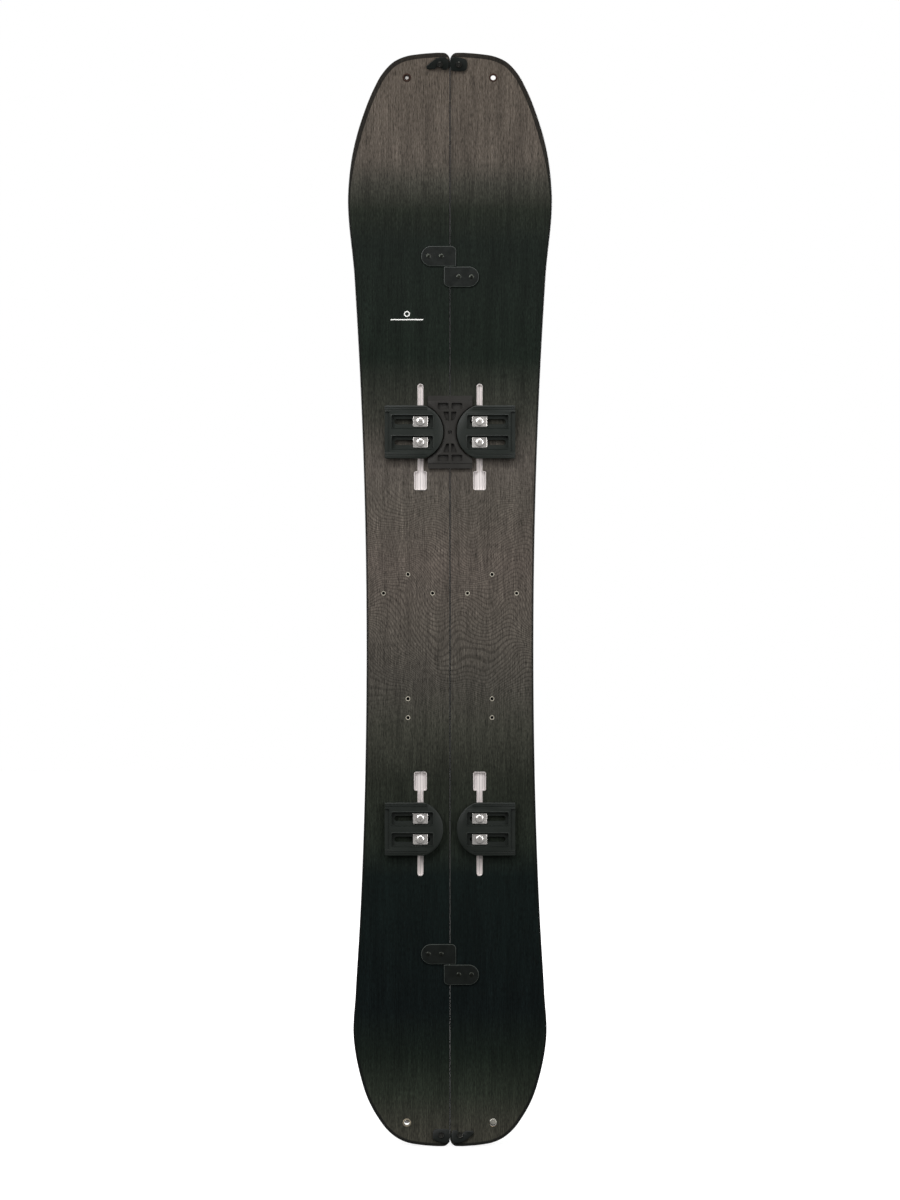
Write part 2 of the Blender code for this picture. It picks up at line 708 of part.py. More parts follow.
def puck_outline(half_height, inset):
    """Plan of a right-hand puck about its centre line: straight outer end, round seam end."""
    radius = PUCK_ARC_RADIUS - inset
    centre = PUCK_INNER_X + PUCK_ARC_RADIUS
    lean = math.asin(half_height / radius)
    round_end = arc((centre, 0), radius, math.pi + lean, math.pi - lean, 12)
    outer = PUCK_OUTER_X - inset
    return [(outer, -half_height)] + round_end + [(outer, half_height)]


def make_puck(end, side_name):
    side = SIDES[side_name]
    frame = top_frame(PUCK_Z[end])
    puck = slab(
        f"{side_name}_{end}_puck", mirrored(puck_outline(PUCK_HALF, 0), side),
        RAIL_UNDERSIDE, PUCK_HEIGHT, "nylon",
    )
    place(puck, frame)
    foot = slab(
        f"{side_name}_{end}_puck_foot",
        mirrored(puck_outline(PUCK_WAIST_HALF, PUCK_FOOT_INSET), side),
        GAP, RAIL_UNDERSIDE + PAST, None,
    )
    place(foot, frame)
    boolean(puck, foot, "UNION")
    pockets, slots = [], []
    near, far = POCKET_X
    for offset in (-SCREW_PITCH / 2, SCREW_PITCH / 2):
        across = tuple(sorted((side * near, side * far)))
        inside = tuple(sorted((side * (near + SLOT_END), side * (far - SLOT_END))))
        along = (offset - POCKET_HALF, offset + POCKET_HALF)
        slot_along = (offset - SLOT_HALF, offset + SLOT_HALF)
        pockets.append((across, along, (POCKET_FLOOR, PUCK_HEIGHT + PAST)))
        slots.append((inside, slot_along, (-PAST, POCKET_FLOOR + PAST)))
    for label, boxes in (("pockets", pockets), ("slots", slots)):
        cutter = blocks(f"{side_name}_{end}_puck_{label}", boxes)
        place(cutter, frame)
        boolean(puck, cutter)
    lines = []
    for edge in (-1, 1):
        along = tuple(sorted(edge * (PUCK_HALF - inwards) for inwards in RAIL_LINE))
        across = tuple(sorted((side * RAIL_LINE_START, side * (PUCK_OUTER_X + PAST))))
        lines.append((across, along, (PUCK_HEIGHT - RAIL_LINE_DEPTH, PUCK_HEIGHT + PAST)))
    rail_lines = blocks(f"{side_name}_{end}_puck_rail_lines", lines)
    place(rail_lines, frame)
    boolean(puck, rail_lines)
    for number, offset in enumerate((SCREW_PITCH / 2, -SCREW_PITCH / 2), 1):
        make_puck_screw(f"{side_name}_{end}_puck", number, PUCK_Z[end] + offset, side * TRACK_X)


def make_puck_screw(prefix, number, z, x):
    frame = top_frame(z, x)
    half_x, half_y = (size / 2 for size in WASHER_SIZE)
    low = POCKET_FLOOR + GAP
    high = low + WASHER_THICKNESS
    corners = [(-half_x, -half_y), (half_x, -half_y), (half_x, half_y), (-half_x, half_y)]
    washer = slab(f"{prefix}_washer_{number}", corners, low, high, "bright_steel")
    place(washer, frame)
    hole = (0, 0, SCREW_SHANK_RADIUS + GAP, 0, THROUGH)
    bore = drills(f"{prefix}_washer_bore_{number}", [hole])
    place(bore, frame)
    boolean(washer, bore)
    head = high + GAP
    top = head + SCREW_HEAD_HEIGHT
    recess = top - SCREW_RECESS_DEPTH
    shank_end = TRACK_FLOOR + GAP - TRACK_DEPTH
    profile = [
        (0, recess), (0.0021, recess), (0.0024, top), (0.0046, top),
        (SCREW_HEAD_RADIUS, top - 0.0014), (SCREW_HEAD_RADIUS, head),
        (SCREW_SHANK_RADIUS, head), (SCREW_SHANK_RADIUS, shank_end), (0, shank_end),
    ]
    place(turned(f"{prefix}_screw_{number}", profile, "bright_steel"), frame)


def make_jig():
    """The guide between the two front pucks, which sets their gap and angle."""
    radius = PUCK_ARC_RADIUS + JIG_CLEARANCE
    centre = PUCK_INNER_X + PUCK_ARC_RADIUS
    lean = math.acos((centre - JIG_HALF_WIDTH) / radius)
    right = arc((centre, 0), radius, math.pi + lean, math.pi - lean, 10)
    left = arc((-centre, 0), radius, lean, -lean, 10)
    outline = [(JIG_HALF_WIDTH, -JIG_HALF_LENGTH)] + right
    outline += [(JIG_HALF_WIDTH, JIG_HALF_LENGTH), (-JIG_HALF_WIDTH, JIG_HALF_LENGTH)]
    outline += left + [(-JIG_HALF_WIDTH, -JIG_HALF_LENGTH)]
    jig = slab("puck_jig", outline, GAP, JIG_HEIGHT, "nylon")
    frame = top_frame(PUCK_Z["front"])
    place(jig, frame)
    recesses = []
    depth = (JIG_RECESS_FLOOR, JIG_HEIGHT + PAST)
    across, along = JIG_END_RECESS
    half_width, inner_along = JIG_INNER_RECESS
    for edge in (-1, 1):
        for side in SIDES.values():
            x_range = tuple(sorted(side * x for x in across))
            recesses.append((x_range, tuple(sorted(edge * y for y in along)), depth))
        inner = tuple(sorted(edge * y for y in inner_along))
        recesses.append(((-half_width, half_width), inner, depth))
    hole = (-JIG_HOLE_HALF, JIG_HOLE_HALF)
    recesses.append((hole, hole, (-PAST, JIG_HEIGHT + PAST)))
    cutter = blocks("puck_jig_recesses", recesses)
    place(cutter, frame)
    boolean(jig, cutter)


# ---- seam hooks ----
def make_hook(end, side_name):
    """A plate whose tongue reaches over the other half, above the seam on the left half's plate."""
    side = SIDES[side_name]
    half = HOOK_WIDTH / 2
    frame = top_frame(HOOK_Z[end])
    lift = -side * (half + HOOK_SPACING)
    wide, tight = HOOK_TIP_RADII
    far_end = arc((HOOK_LENGTH - half, 0), half, -math.pi / 2, math.pi / 2, 8)
    round_tip = arc((wide - HOOK_TONGUE, half - wide), wide, math.pi / 2, math.pi, 3)
    tight_tip = arc((tight - HOOK_TONGUE, tight - half), tight, math.pi, math.pi * 1.5, 2)
    outline = far_end + round_tip + tight_tip
    outline = [(side * x, lift - side * y) for x, y in outline]
    hook = slab(f"{side_name}_{end}_hook", outline, GAP, HOOK_THICKNESS, "hook_plate")
    place(hook, frame)
    holes = [(side * x, lift, HOOK_BORE_RADIUS, -PAST, 2 * HOOK_THICKNESS) for x in HOOK_SCREWS]
    bores = drills(f"{side_name}_{end}_hook_bores", holes, 10)
    place(bores, frame)
    boolean(hook, bores)


# ---- skin holes ----
def make_eyelet(name, side, z, finish):
    """A flanged bush through a skin hole, whose axis runs along Y."""
    proud = depth_at(z, below_top(0)) - BUSH_PROUD
    sunk = depth_at(z, above_base(0)) - BUSH_SUNK
    middle = (proud + sunk) / 2
    half = (sunk - proud) / 2
    profile = [
        (BUSH_RADIUS, half), (BUSH_RADIUS, -half), (BUSH_BORE_RADIUS, -half),
        (BUSH_BORE_RADIUS, half),
    ]
    frame = Matrix.Translation((side * SKIN_HOLE_X, middle, z)) @ Matrix.Rotation(math.pi / 2, 4, "X")
    place(turned(name, profile, finish, 12), frame)


def make_tail_plug():
    """A pressed button that fills the right half's tail hole."""
    z = TAIL_HOLE_Z
    proud = depth_at(z, below_top(0)) - BUSH_PROUD
    far = depth_at(z, above_base(0)) + BUTTON_PROUD
    middle = (proud + far) / 2
    half = (far - proud) / 2
    profile = [
        (0, half), (BUSH_RADIUS - 0.001, half), (BUSH_RADIUS, half - 0.001),
        (BUSH_RADIUS, 0.0006 - half), (BUSH_RADIUS - 0.0006, -half), (0, -half),
    ]
    frame = Matrix.Translation((SKIN_HOLE_X, middle, z)) @ Matrix.Rotation(math.pi / 2, 4, "X")
    place(turned("right_tail_plug", profile, "track_metal", 12), frame)


# ---- climbing skin, on the left half's base ----
def spread(edges):
    """The same sheet with more sections, so that it follows the board's bends."""
    fine = []
    for (inner, outer, z), (inner_2, outer_2, z_2) in zip(edges, edges[1:]):
        steps = steps_between(z, z_2)
        for step in range(steps):
            t = step / steps
            fine.append((inner + (inner_2 - inner) * t, outer + (outer_2 - outer) * t,
                         z + (z_2 - z) * t))
    return fine + [edges[-1]]


def below_base(distance):
    return above_base(-distance)


def make_skin():
    face = below_base(SKIN_CLEARANCE)
    plate_between(
        "climbing_skin", -1, spread(SKIN), below_base(SKIN_CLEARANCE + SKIN_THICKNESS), face,
        "plush",
    )
    low, high = CONNECTOR_Z
    inner, outer = CONNECTOR_X
    edges = [(inner, outer, low), (inner, outer, (low + high) / 2), (inner, outer, high),
             (SKIN_HOLE_X - 0.011, SKIN_HOLE_X + 0.011, NOSE_HOLE_Z + 0.0055)]
    connector = plate_between(
        "skin_tip_connector", -1, edges, below_base(SKIN_CLEARANCE + CONNECTOR_THICKNESS), face,
        "rubber",
    )
    pin_frame = Matrix.Translation(
        (-SKIN_HOLE_X, depth_at(NOSE_HOLE_Z, above_base(0)), NOSE_HOLE_Z)
    ) @ Matrix.Rotation(-math.pi / 2, 4, "X")
    seat = drills("connector_pin_bore", [(0, 0, PIN_RADIUS + 0.0004, -THROUGH, THROUGH)])
    place(seat, pin_frame)
    boolean(connector, seat)
    head = CONNECTOR_THICKNESS + 0.0028
    crown, under = head + 0.0012, head - 0.0006
    profile = [
        (0, crown), (0.0032, crown), (PIN_HEAD_RADIUS, head), (PIN_HEAD_RADIUS, under),
        (PIN_RADIUS, under), (PIN_RADIUS, -0.0045), (0, -0.0050),
    ]
    place(turned("skin_tip_pin", profile, "bright_steel", 12), pin_frame)

    low, high = TAIL_STRAP_Z
    steps = 6
    inner, outer = SKIN_HOLE_X - TAIL_STRAP_HALF, SKIN_HOLE_X + TAIL_STRAP_HALF
    edges = [(inner, outer, low + (high - low) * step / steps) for step in range(steps + 1)]
    plate_between(
        "skin_tail_strap", -1, edges, below_base(SKIN_CLEARANCE + TAIL_STRAP_THICKNESS), face,
        "webbing",
    )


def make_buckle():
    """A forked hook that hangs from the strap and drops its tip into the tail eyelet."""
    middle = (BUCKLE_HINGE_Z + TAIL_HOLE_Z) / 2
    frame = surface_frame(middle, below_base(BUCKLE_LIFT), -SKIN_HOLE_X)
    top = BUCKLE_HINGE_Z - middle
    tip = -top + 0.0006
    outline = [
        (-0.0115, top), (-0.0130, top), (-0.0122, top - 0.012), (-0.0030, tip + 0.0015),
        (-0.0030, tip - 0.0015), (0.0030, tip - 0.0015), (0.0030, tip + 0.0015),
        (0.0122, top - 0.012), (0.0130, top), (0.0115, top), (0.0085, top - 0.0078),
        (0.0055, top - 0.0098), (-0.0055, top - 0.0098), (-0.0085, top - 0.0078),
    ]
    buckle = slab("skin_tail_buckle", outline, -BUCKLE_THICKNESS, 0, "bright_steel")
    place(buckle, frame)
    circle = arc((0, tip), BUCKLE_TIP_RADIUS, 0, math.pi * 2 * 9 / 10, 9)
    hook = slab("buckle_hook_tip", circle, -PAST, 0.0032, None)
    place(hook, frame)
    boolean(buckle, hook, "UNION")


clear_scene()
PARTS = new_collection("splitboard")
CUTTERS = new_collection("cutters")
MATERIALS = make_finishes()
for name_of_side in SIDES:
    make_half(name_of_side)
    for name_of_end in ("front", "rear"):
        make_track(name_of_end, name_of_side)
        make_puck(name_of_end, name_of_side)
    for name_of_end in ("nose", "tail"):
        make_hook(name_of_end, name_of_side)
        make_tip_plate(name_of_end, name_of_side)
for name_of_end in ("nose", "tail"):
    make_clip(name_of_end)
make_jig()
make_eyelet("left_nose_eyelet", -1, NOSE_HOLE_Z, "eyelet")
make_eyelet("right_nose_eyelet", 1, NOSE_HOLE_Z, "eyelet")
make_eyelet("left_tail_eyelet", -1, TAIL_HOLE_Z, "eyelet")
make_tail_plug()
make_skin()
make_buckle()
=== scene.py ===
"""The splitboard's looks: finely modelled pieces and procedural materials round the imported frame.

Metres. The board stands on its tail with +Z along it. The seam lies in X = 0, the topsheet faces
-Y and the base faces +Y.
"""

import json
import math

import bmesh
import bpy
from mathutils import Matrix, Vector

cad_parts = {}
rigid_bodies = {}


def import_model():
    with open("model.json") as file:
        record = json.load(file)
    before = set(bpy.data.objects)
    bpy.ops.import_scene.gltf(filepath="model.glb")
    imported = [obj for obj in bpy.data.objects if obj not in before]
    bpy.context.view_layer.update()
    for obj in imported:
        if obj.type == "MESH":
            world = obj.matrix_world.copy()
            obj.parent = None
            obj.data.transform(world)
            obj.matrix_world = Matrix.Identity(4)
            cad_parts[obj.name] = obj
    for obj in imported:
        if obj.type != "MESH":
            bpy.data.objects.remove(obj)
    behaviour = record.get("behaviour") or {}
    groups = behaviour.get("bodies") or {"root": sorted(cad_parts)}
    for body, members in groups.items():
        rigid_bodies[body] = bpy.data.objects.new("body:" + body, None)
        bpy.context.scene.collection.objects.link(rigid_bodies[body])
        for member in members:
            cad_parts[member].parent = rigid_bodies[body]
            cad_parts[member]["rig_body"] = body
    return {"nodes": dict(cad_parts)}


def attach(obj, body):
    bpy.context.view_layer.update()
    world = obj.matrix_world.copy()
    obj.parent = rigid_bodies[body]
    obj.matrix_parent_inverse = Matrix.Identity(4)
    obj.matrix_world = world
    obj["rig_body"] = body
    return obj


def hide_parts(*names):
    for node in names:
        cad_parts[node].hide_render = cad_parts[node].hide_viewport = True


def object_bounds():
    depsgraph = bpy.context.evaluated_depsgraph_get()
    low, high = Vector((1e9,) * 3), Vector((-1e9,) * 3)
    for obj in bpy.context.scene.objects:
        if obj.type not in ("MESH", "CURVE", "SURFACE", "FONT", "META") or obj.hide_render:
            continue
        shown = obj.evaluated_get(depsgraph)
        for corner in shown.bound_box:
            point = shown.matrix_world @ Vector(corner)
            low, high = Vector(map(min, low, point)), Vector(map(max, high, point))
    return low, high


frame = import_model()
CAD_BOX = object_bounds()

# ---- the board's driving dimensions, as in the CAD source ----
LENGTH = CAD_BOX[1].z
SEAM_CLEARANCE = 0.0003
SEAM_GAP = 0.00002               # from the seam plane to the closely fitted visible edges
CORNER_RADIUS = 0.011
MIDDLE_THICKNESS = 0.0092
TIP_THICKNESS = 0.0060
THICKNESS_RUN = 0.36
NOSE_RISE = 0.038
TAIL_RISE = 0.026
CAMBER = 0.004
CAMBER_RUN = 0.17
TAIL_CONTACT = 0.19
NOSE_CONTACT = 1.38
DEPTH_CENTRE = 0.02139

# Outer edge of a half, tail to nose: (distance from the seam plane, height).
OUTLINE = [
    (0.0200, 0.0000), (0.0420, 0.0016), (0.0660, 0.0060), (0.0790, 0.0120),
    (0.0936, 0.0238), (0.1074, 0.0416), (0.1210, 0.0653), (0.1344, 0.1050),
    (0.1438, 0.1600), (0.1407, 0.2240), (0.1336, 0.3430), (0.1270, 0.5210),
    (0.1243, 0.7300), (0.1266, 0.9370), (0.1327, 1.1150), (0.1426, 1.2930),
    (0.1517, 1.4200), (0.1456, 1.4720), (0.1290, 1.5310), (0.1139, 1.5670),
    (0.1006, 1.5900), (0.0820, 1.6080), (0.0682, 1.6140), (0.0420, 1.6184),
    (0.0200, 1.6200),
]
TIP_STEP = 0.005                 # outline spacing where the board bends
MIDDLE_STEP = 0.024              # outline spacing along its flat middle

BASE_THICKNESS = 0.0014
EDGE_WIDTH = 0.0023
EDGE_HEIGHT = 0.0020
SIDEWALL_WIDTH = 0.0040
TOPSHEET_THICKNESS = 0.0008
CLEAR = 0.0001                   # between pieces that meet
GAP = 0.0003                     # between pieces that the CAD source keeps apart
THROUGH = 0.02                   # half length of a tool that goes right through the board

# ---- hardware, as in the CAD source ----
INSERTS = [(0.0625, 0.848), (0.099, 0.820), (0.026, 0.820), (0.0625, 0.663), (0.0625, 0.635)]
INSERT_RADIUS = 0.0034
INSERT_DEPTH = 0.0052
SKIN_HOLE_X = 0.064
SKIN_HOLE_RADIUS = 0.0055
HOLE_Z = {"nose": 1.584, "tail": 0.034}

TRACK_X = 0.044
TRACKS = {"front": (0.9734, 1.1316), "rear": (0.5545, 0.3995)}    # wide end, narrow end
TRACK_WIDTH = 0.009
TRACK_ENTRY_WIDTH = 0.019
TRACK_ENTRY_LENGTH = 0.028
TRACK_DEPTH = 0.0055
TRACK_FLOOR = 0.0010

PUCK_Z = {"front": 1.0595, "rear": 0.470}
PUCK_INNER_X = 0.010
PUCK_OUTER_X = 0.0970
PUCK_HALF = 0.0395
PUCK_ARC_RADIUS = 0.0414
PUCK_WAIST_HALF = 0.0345
PUCK_HEIGHT = 0.0123
RAIL_UNDERSIDE = 0.0072
POCKET_X = (0.0255, 0.0865)
POCKET_HALF = 0.0093
POCKET_FLOOR = 0.0060
SLOT_HALF = 0.0037
SCREW_PITCH = 0.031
WASHER_SIZE = (0.022, 0.0156)
WASHER_THICKNESS = 0.0020

JIG_HALF_WIDTH = 0.033
JIG_HALF_LENGTH = 0.054
JIG_HEIGHT = 0.0070
JIG_CLEARANCE = 0.0012

HOOK_Z = {"nose": 1.306, "tail": 0.268}
HOOK_LENGTH = 0.043
HOOK_TONGUE = 0.009
HOOK_WIDTH = 0.0300
HOOK_THICKNESS = 0.0032
HOOK_SPACING = 0.0004            # half the gap between two hooks
HOOK_RIM = 0.0014                # width of the raised rim round a hook
HOOK_SCREWS = (0.013, 0.032)

CLIP_Z = {"nose": 1.6030, "tail": 0.0155}
CLIP_PIVOT_X = 0.0150
CLIP_KEEPER_BOLT_X = 0.0130
CLIP_HEIGHT = 0.0044
LEVER_LIFT = 0.0007
CLIP_TONGUE = (0.0016, 0.0028)
CLIP_ARM = 0.0205
CLIP_BOLT_RADIUS = 0.0024
CLIP_BORE_RADIUS = 0.0026
TIP_PLATE_THICKNESS = 0.0012
TIP_PLATE_RECESS = 0.0015
TIP_PLATE_INSET = (0.0002, 0.0006)    # from the seam edge, from the board's end
TIP_PLATE_BACK = 0.0165
TIP_PLATE_ENDS = {"nose": (0.0300, 0.0205), "tail": (0.0340, 0.0190)}    # tip side, back side

# Climbing skin: (seam side, outer side, height), for the half with negative X.
SKIN = [
    (0.0254, 0.0892, 0.1485), (0.0232, 0.0930, 0.1720), (0.0187, 0.0990, 0.2080),
    (0.0128, 0.1060, 0.2435), (0.0083, 0.1120, 0.2790), (0.0068, 0.1197, 0.3150),
    (0.0056, 0.1300, 0.3730), (0.0053, 0.1270, 0.4570), (0.0053, 0.1205, 0.6300),
    (0.0053, 0.1195, 0.7600), (0.0053, 0.1205, 0.8800), (0.0060, 0.1270, 1.0810),
    (0.0083, 0.1365, 1.2590), (0.0083, 0.1385, 1.3100), (0.0083, 0.1330, 1.3450),
    (0.0098, 0.1270, 1.3810), (0.0098, 0.1210, 1.4170), (0.0128, 0.1150, 1.4520),
    (0.0172, 0.1093, 1.4880), (0.0217, 0.1034, 1.5230), (0.0270, 0.0979, 1.5560),
]
SKIN_LIFT = 0.0004               # the glue's thickness
PILE_THICKNESS = 0.0026
SKIN_COLUMNS = (3, 24, 4)        # faces beside, behind and beyond the rubber connector
HORN_TOP = 1.5805                # the skin's two points beside its rubber connector
CONNECTOR_X = (0.0330, 0.0920)
CONNECTOR_Z = (1.5563, 1.5790)
CONNECTOR_THICKNESS = 0.0045
TAIL_STRAP_HALF = 0.009
TAIL_STRAP_Z = (0.0598, 0.1482)
TAIL_STRAP_THICKNESS = 0.0016
WEB_THICKNESS = 0.0012
BUCKLE_HINGE_Z = 0.0635
BUCKLE_LIFT = 0.0006

FLOOR_RADIUS = 12.0

SIDES = {"left": -1, "right": 1}


# ---- shading helpers ----
def srgb(red, green, blue):
    """A linear colour from 0-255 display values."""
    def linear(value):
        share = value / 255
        return share / 12.92 if share <= 0.04045 else ((share + 0.055) / 1.055) ** 2.4
    return (linear(red), linear(green), linear(blue), 1.0)


class Shading:
    """One material's node tree, built with short calls. Positions are the row frame's, in metres."""

    def __init__(self, name, roughness=0.5, metallic=0.0):
        self.material = bpy.data.materials.new(name)
        self.material.use_nodes = True
        self.nodes = self.material.node_tree.nodes
        self.links = self.material.node_tree.links
        self.shader = self.nodes["Principled BSDF"]
        self.set("Roughness", roughness)
        self.set("Metallic", metallic)
        self.place = self.nodes.new("ShaderNodeTexCoord").outputs["Object"]
        split = self.nodes.new("ShaderNodeSeparateXYZ")
        self.links.new(self.place, split.inputs[0])
        self.x, self.y, self.z = split.outputs

    def feed(self, socket, value):
        if isinstance(value, bpy.types.NodeSocket):
            self.links.new(value, socket)
        elif socket.type == "VECTOR":
            socket.default_value = value[:3]
        else:
            socket.default_value = value

    def set(self, name, value):
        self.feed(self.shader.inputs[name], value)

    def math(self, operation, first, second=0.0, third=0.0):
        node = self.nodes.new("ShaderNodeMath")
        node.operation = operation
        for socket, value in zip(node.inputs, (first, second, third)):
            self.feed(socket, value)
        return node.outputs[0]

    def between(self, value, low, high, out_low=0.0, out_high=1.0):
        """Value mapped smoothly from low..high to out_low..out_high."""
        node = self.nodes.new("ShaderNodeMapRange")
        node.interpolation_type = "SMOOTHSTEP"
        for socket, given in zip(node.inputs, (value, low, high, out_low, out_high)):
            self.feed(socket, given)
        return node.outputs[0]

    def scaled(self, scale):
        node = self.nodes.new("ShaderNodeVectorMath")
        node.operation = "MULTIPLY"
        self.feed(node.inputs[0], self.place)
        node.inputs[1].default_value = scale
        return node.outputs[0]

    def noise(self, scale, detail=2.0, roughness=0.5, distortion=0.0):
        """Noise with so many grains per metre along each axis, from 0 to 1."""
        node = self.nodes.new("ShaderNodeTexNoise")
        self.feed(node.inputs["Vector"], self.scaled(scale))
        node.inputs["Scale"].default_value = 1.0
        node.inputs["Detail"].default_value = detail
        node.inputs["Roughness"].default_value = roughness
        node.inputs["Distortion"].default_value = distortion
        return node.outputs[0]

    def swirls(self, across, up, scale, wander, line):
        """Wandering contour lines: so many a metre across and up, bent by broad noise."""
        level = self.math("ADD", self.math("MULTIPLY", self.x, across), self.math("MULTIPLY", self.z, up))
        bend = self.math("MULTIPLY", self.noise(scale, 1.6, 0.45), wander)
        level = self.math("PINGPONG", self.math("ADD", level, bend), 0.5)
        return self.between(level, line, line * 0.3)

    def mix(self, share, first, second):
        node = self.nodes.new("ShaderNodeMix")
        node.data_type = "RGBA"
        self.feed(node.inputs["Factor"], share)
        colours = [socket for socket in node.inputs if socket.type == "RGBA"]
        self.feed(colours[0], first)
        self.feed(colours[1], second)
        return [socket for socket in node.outputs if socket.type == "RGBA"][0]

    def ramp(self, share, stops):
        """Colours by share: stops of (position, colour)."""
        node = self.nodes.new("ShaderNodeValToRGB")
        self.feed(node.inputs[0], share)
        elements = node.color_ramp.elements
        while len(elements) < len(stops):
            elements.new(0.5)
        for element, (position, colour) in zip(elements, stops):
            element.position = position
            element.color = colour
        return node.outputs[0]

    def along(self, stops):
        """Colours by height on the board: stops of (height in metres, colour)."""
        share = self.math("DIVIDE", self.z, LENGTH)
        return self.ramp(share, [(height / LENGTH, colour) for height, colour in stops])

    def shade(self, colour, share, low, high):
        """Colour multiplied by low..high as share goes from 0 to 1."""
        node = self.nodes.new("ShaderNodeVectorMath")
        node.operation = "SCALE"
        self.feed(node.inputs[0], colour)
        self.feed(node.inputs["Scale"], self.between(share, 0.0, 1.0, low, high))
        return node.outputs[0]

    def bump(self, height, distance):
        node = self.nodes.new("ShaderNodeBump")
        node.inputs["Distance"].default_value = distance
        self.feed(node.inputs["Height"], height)
        self.set("Normal", node.outputs[0])


# ---- materials ----
VENEER_STOPS = [
    (0.020, srgb(54, 53, 47)), (0.075, srgb(39, 43, 37)), (0.130, srgb(27, 32, 28)),
    (0.200, srgb(22, 26, 26)), (0.400, srgb(23, 28, 27)), (0.450, srgb(35, 39, 34)),
    (0.540, srgb(39, 41, 36)), (0.620, srgb(57, 57, 51)), (0.690, srgb(70, 67, 62)),
    (0.780, srgb(81, 76, 70)), (0.860, srgb(88, 81, 75)), (0.950, srgb(82, 77, 71)),
    (1.010, srgb(78, 73, 68)), (1.080, srgb(52, 52, 47)), (1.170, srgb(28, 33, 29)),
    (1.340, srgb(28, 32, 29)), (1.390, srgb(35, 38, 33)), (1.430, srgb(57, 56, 51)),
    (1.470, srgb(79, 73, 67)), (1.600, srgb(85, 78, 71)),
]
LACQUER_SHEEN = 0.005            # light the lacquer adds, taken off the stain's colours
ENGRAVED = (0.60, 1.03)          # stretch of the topsheet with contour lines
MARK_PLACE = (-0.064, 1.227)     # a plain mark printed on the topsheet


def wood_grain(paint):
    """Veneer streaks: (broad tone, fine tone, short flecks, dark pores), each from 0 to 1."""
    broad = paint.noise((60, 0, 5.0), 3.0, 0.55, 0.3)
    fine = paint.noise((620, 0, 20), 3.0, 0.6)
    flecks = paint.noise((820, 0, 150), 3.0, 0.65)
    pores = paint.between(paint.noise((760, 0, 60), 2.0, 0.5), 0.58, 0.70)
    return broad, fine, flecks, pores


def plain_mark(paint):
    """A small ring over a bar: 1 where it is printed."""
    x, z = MARK_PLACE
    across = paint.math("SUBTRACT", paint.x, x)
    up = paint.math("SUBTRACT", paint.z, z)
    from_ring = paint.math("SQRT", paint.math(
        "ADD", paint.math("POWER", across, 2.0),
        paint.math("POWER", paint.math("SUBTRACT", up, 0.0085), 2.0)))
    ring = paint.math("COMPARE", from_ring, 0.0036, 0.0007)
    bar_up = paint.math("COMPARE", up, 0.0, 0.0008)
    bar = paint.math("MULTIPLY", bar_up, paint.math("COMPARE", across, 0.0, 0.0240))
    return paint.math("MAXIMUM", ring, bar)


def veneer(name, border_and_seam_shade):
    """Stained veneer under satin lacquer. The border paint is the same wood painted nearly black: a real
    border round the outer edge, and painted shade on a thin band along the seam.
    """
    paint = Shading(name, roughness=0.5)
    broad, fine, flecks, pores = wood_grain(paint)
    stained = [
        (height, tuple(max(channel - LACQUER_SHEEN, 0.001) for channel in colour[:3]) + (1.0,))
        for height, colour in VENEER_STOPS
    ]
    colour = paint.along(stained)
    colour = paint.shade(colour, broad, 0.62, 1.38)
    colour = paint.shade(colour, fine, 0.36, 1.68)
    colour = paint.shade(colour, flecks, 0.06, 1.98)
    colour = paint.mix(paint.math("MULTIPLY", pores, 0.60), colour, srgb(14, 15, 13))
    lines = paint.swirls(60, 215, (6.5, 0, 5.0), 62.0, 0.30)
    low, high = ENGRAVED
    reach = paint.math(
        "MULTIPLY", paint.between(paint.z, low, low + 0.10),
        paint.between(paint.z, high, high - 0.10))
    lines = paint.math("MULTIPLY", lines, reach)
    patchy = paint.math("MULTIPLY", lines, paint.between(broad, 0.3, 0.7, 0.35, 0.75))
    colour = paint.mix(patchy, colour, paint.shade(colour, lines, 1.0, 0.50))
    if border_and_seam_shade:
        colour = paint.mix(0.82, colour, srgb(14, 15, 14))
    else:
        colour = paint.mix(plain_mark(paint), colour, srgb(228, 228, 224))
    paint.set("Base Color", colour)
    paint.set("Roughness", paint.between(fine, 0.2, 0.8, 0.50, 0.66))
    paint.set("Specular IOR Level", 0.06)
    height = paint.math("SUBTRACT", fine, paint.math("MULTIPLY", lines, 0.9))
    paint.bump(height, 0.00016)
    return paint.material


def graphic_area(paint):
    """Where the base's pale contour graphic is: two broad slanting bands with wavy borders."""
    wave = paint.noise((9, 0, 6), 2.0, 0.5, 0.4)
    wander = paint.between(wave, 0.2, 0.8, -0.045, 0.045)
    bands = []
    for side, middle, half, slant in ((1, 1.360, 0.074, 0.55), (-1, 0.262, 0.070, -0.45)):
        tilted = paint.math("ADD", paint.z, paint.math("MULTIPLY", paint.x, -slant * side))
        centre = middle - slant * 0.075
        off = paint.math("ABSOLUTE", paint.math("SUBTRACT", tilted, centre))
        off = paint.math("ADD", off, wander)
        band = paint.between(off, half, half - 0.0008)
        own_half = paint.math("GREATER_THAN", paint.math("MULTIPLY", paint.x, side), 0.0)
        bands.append(paint.math("MULTIPLY", band, own_half))
    return paint.math("MAXIMUM", *bands)


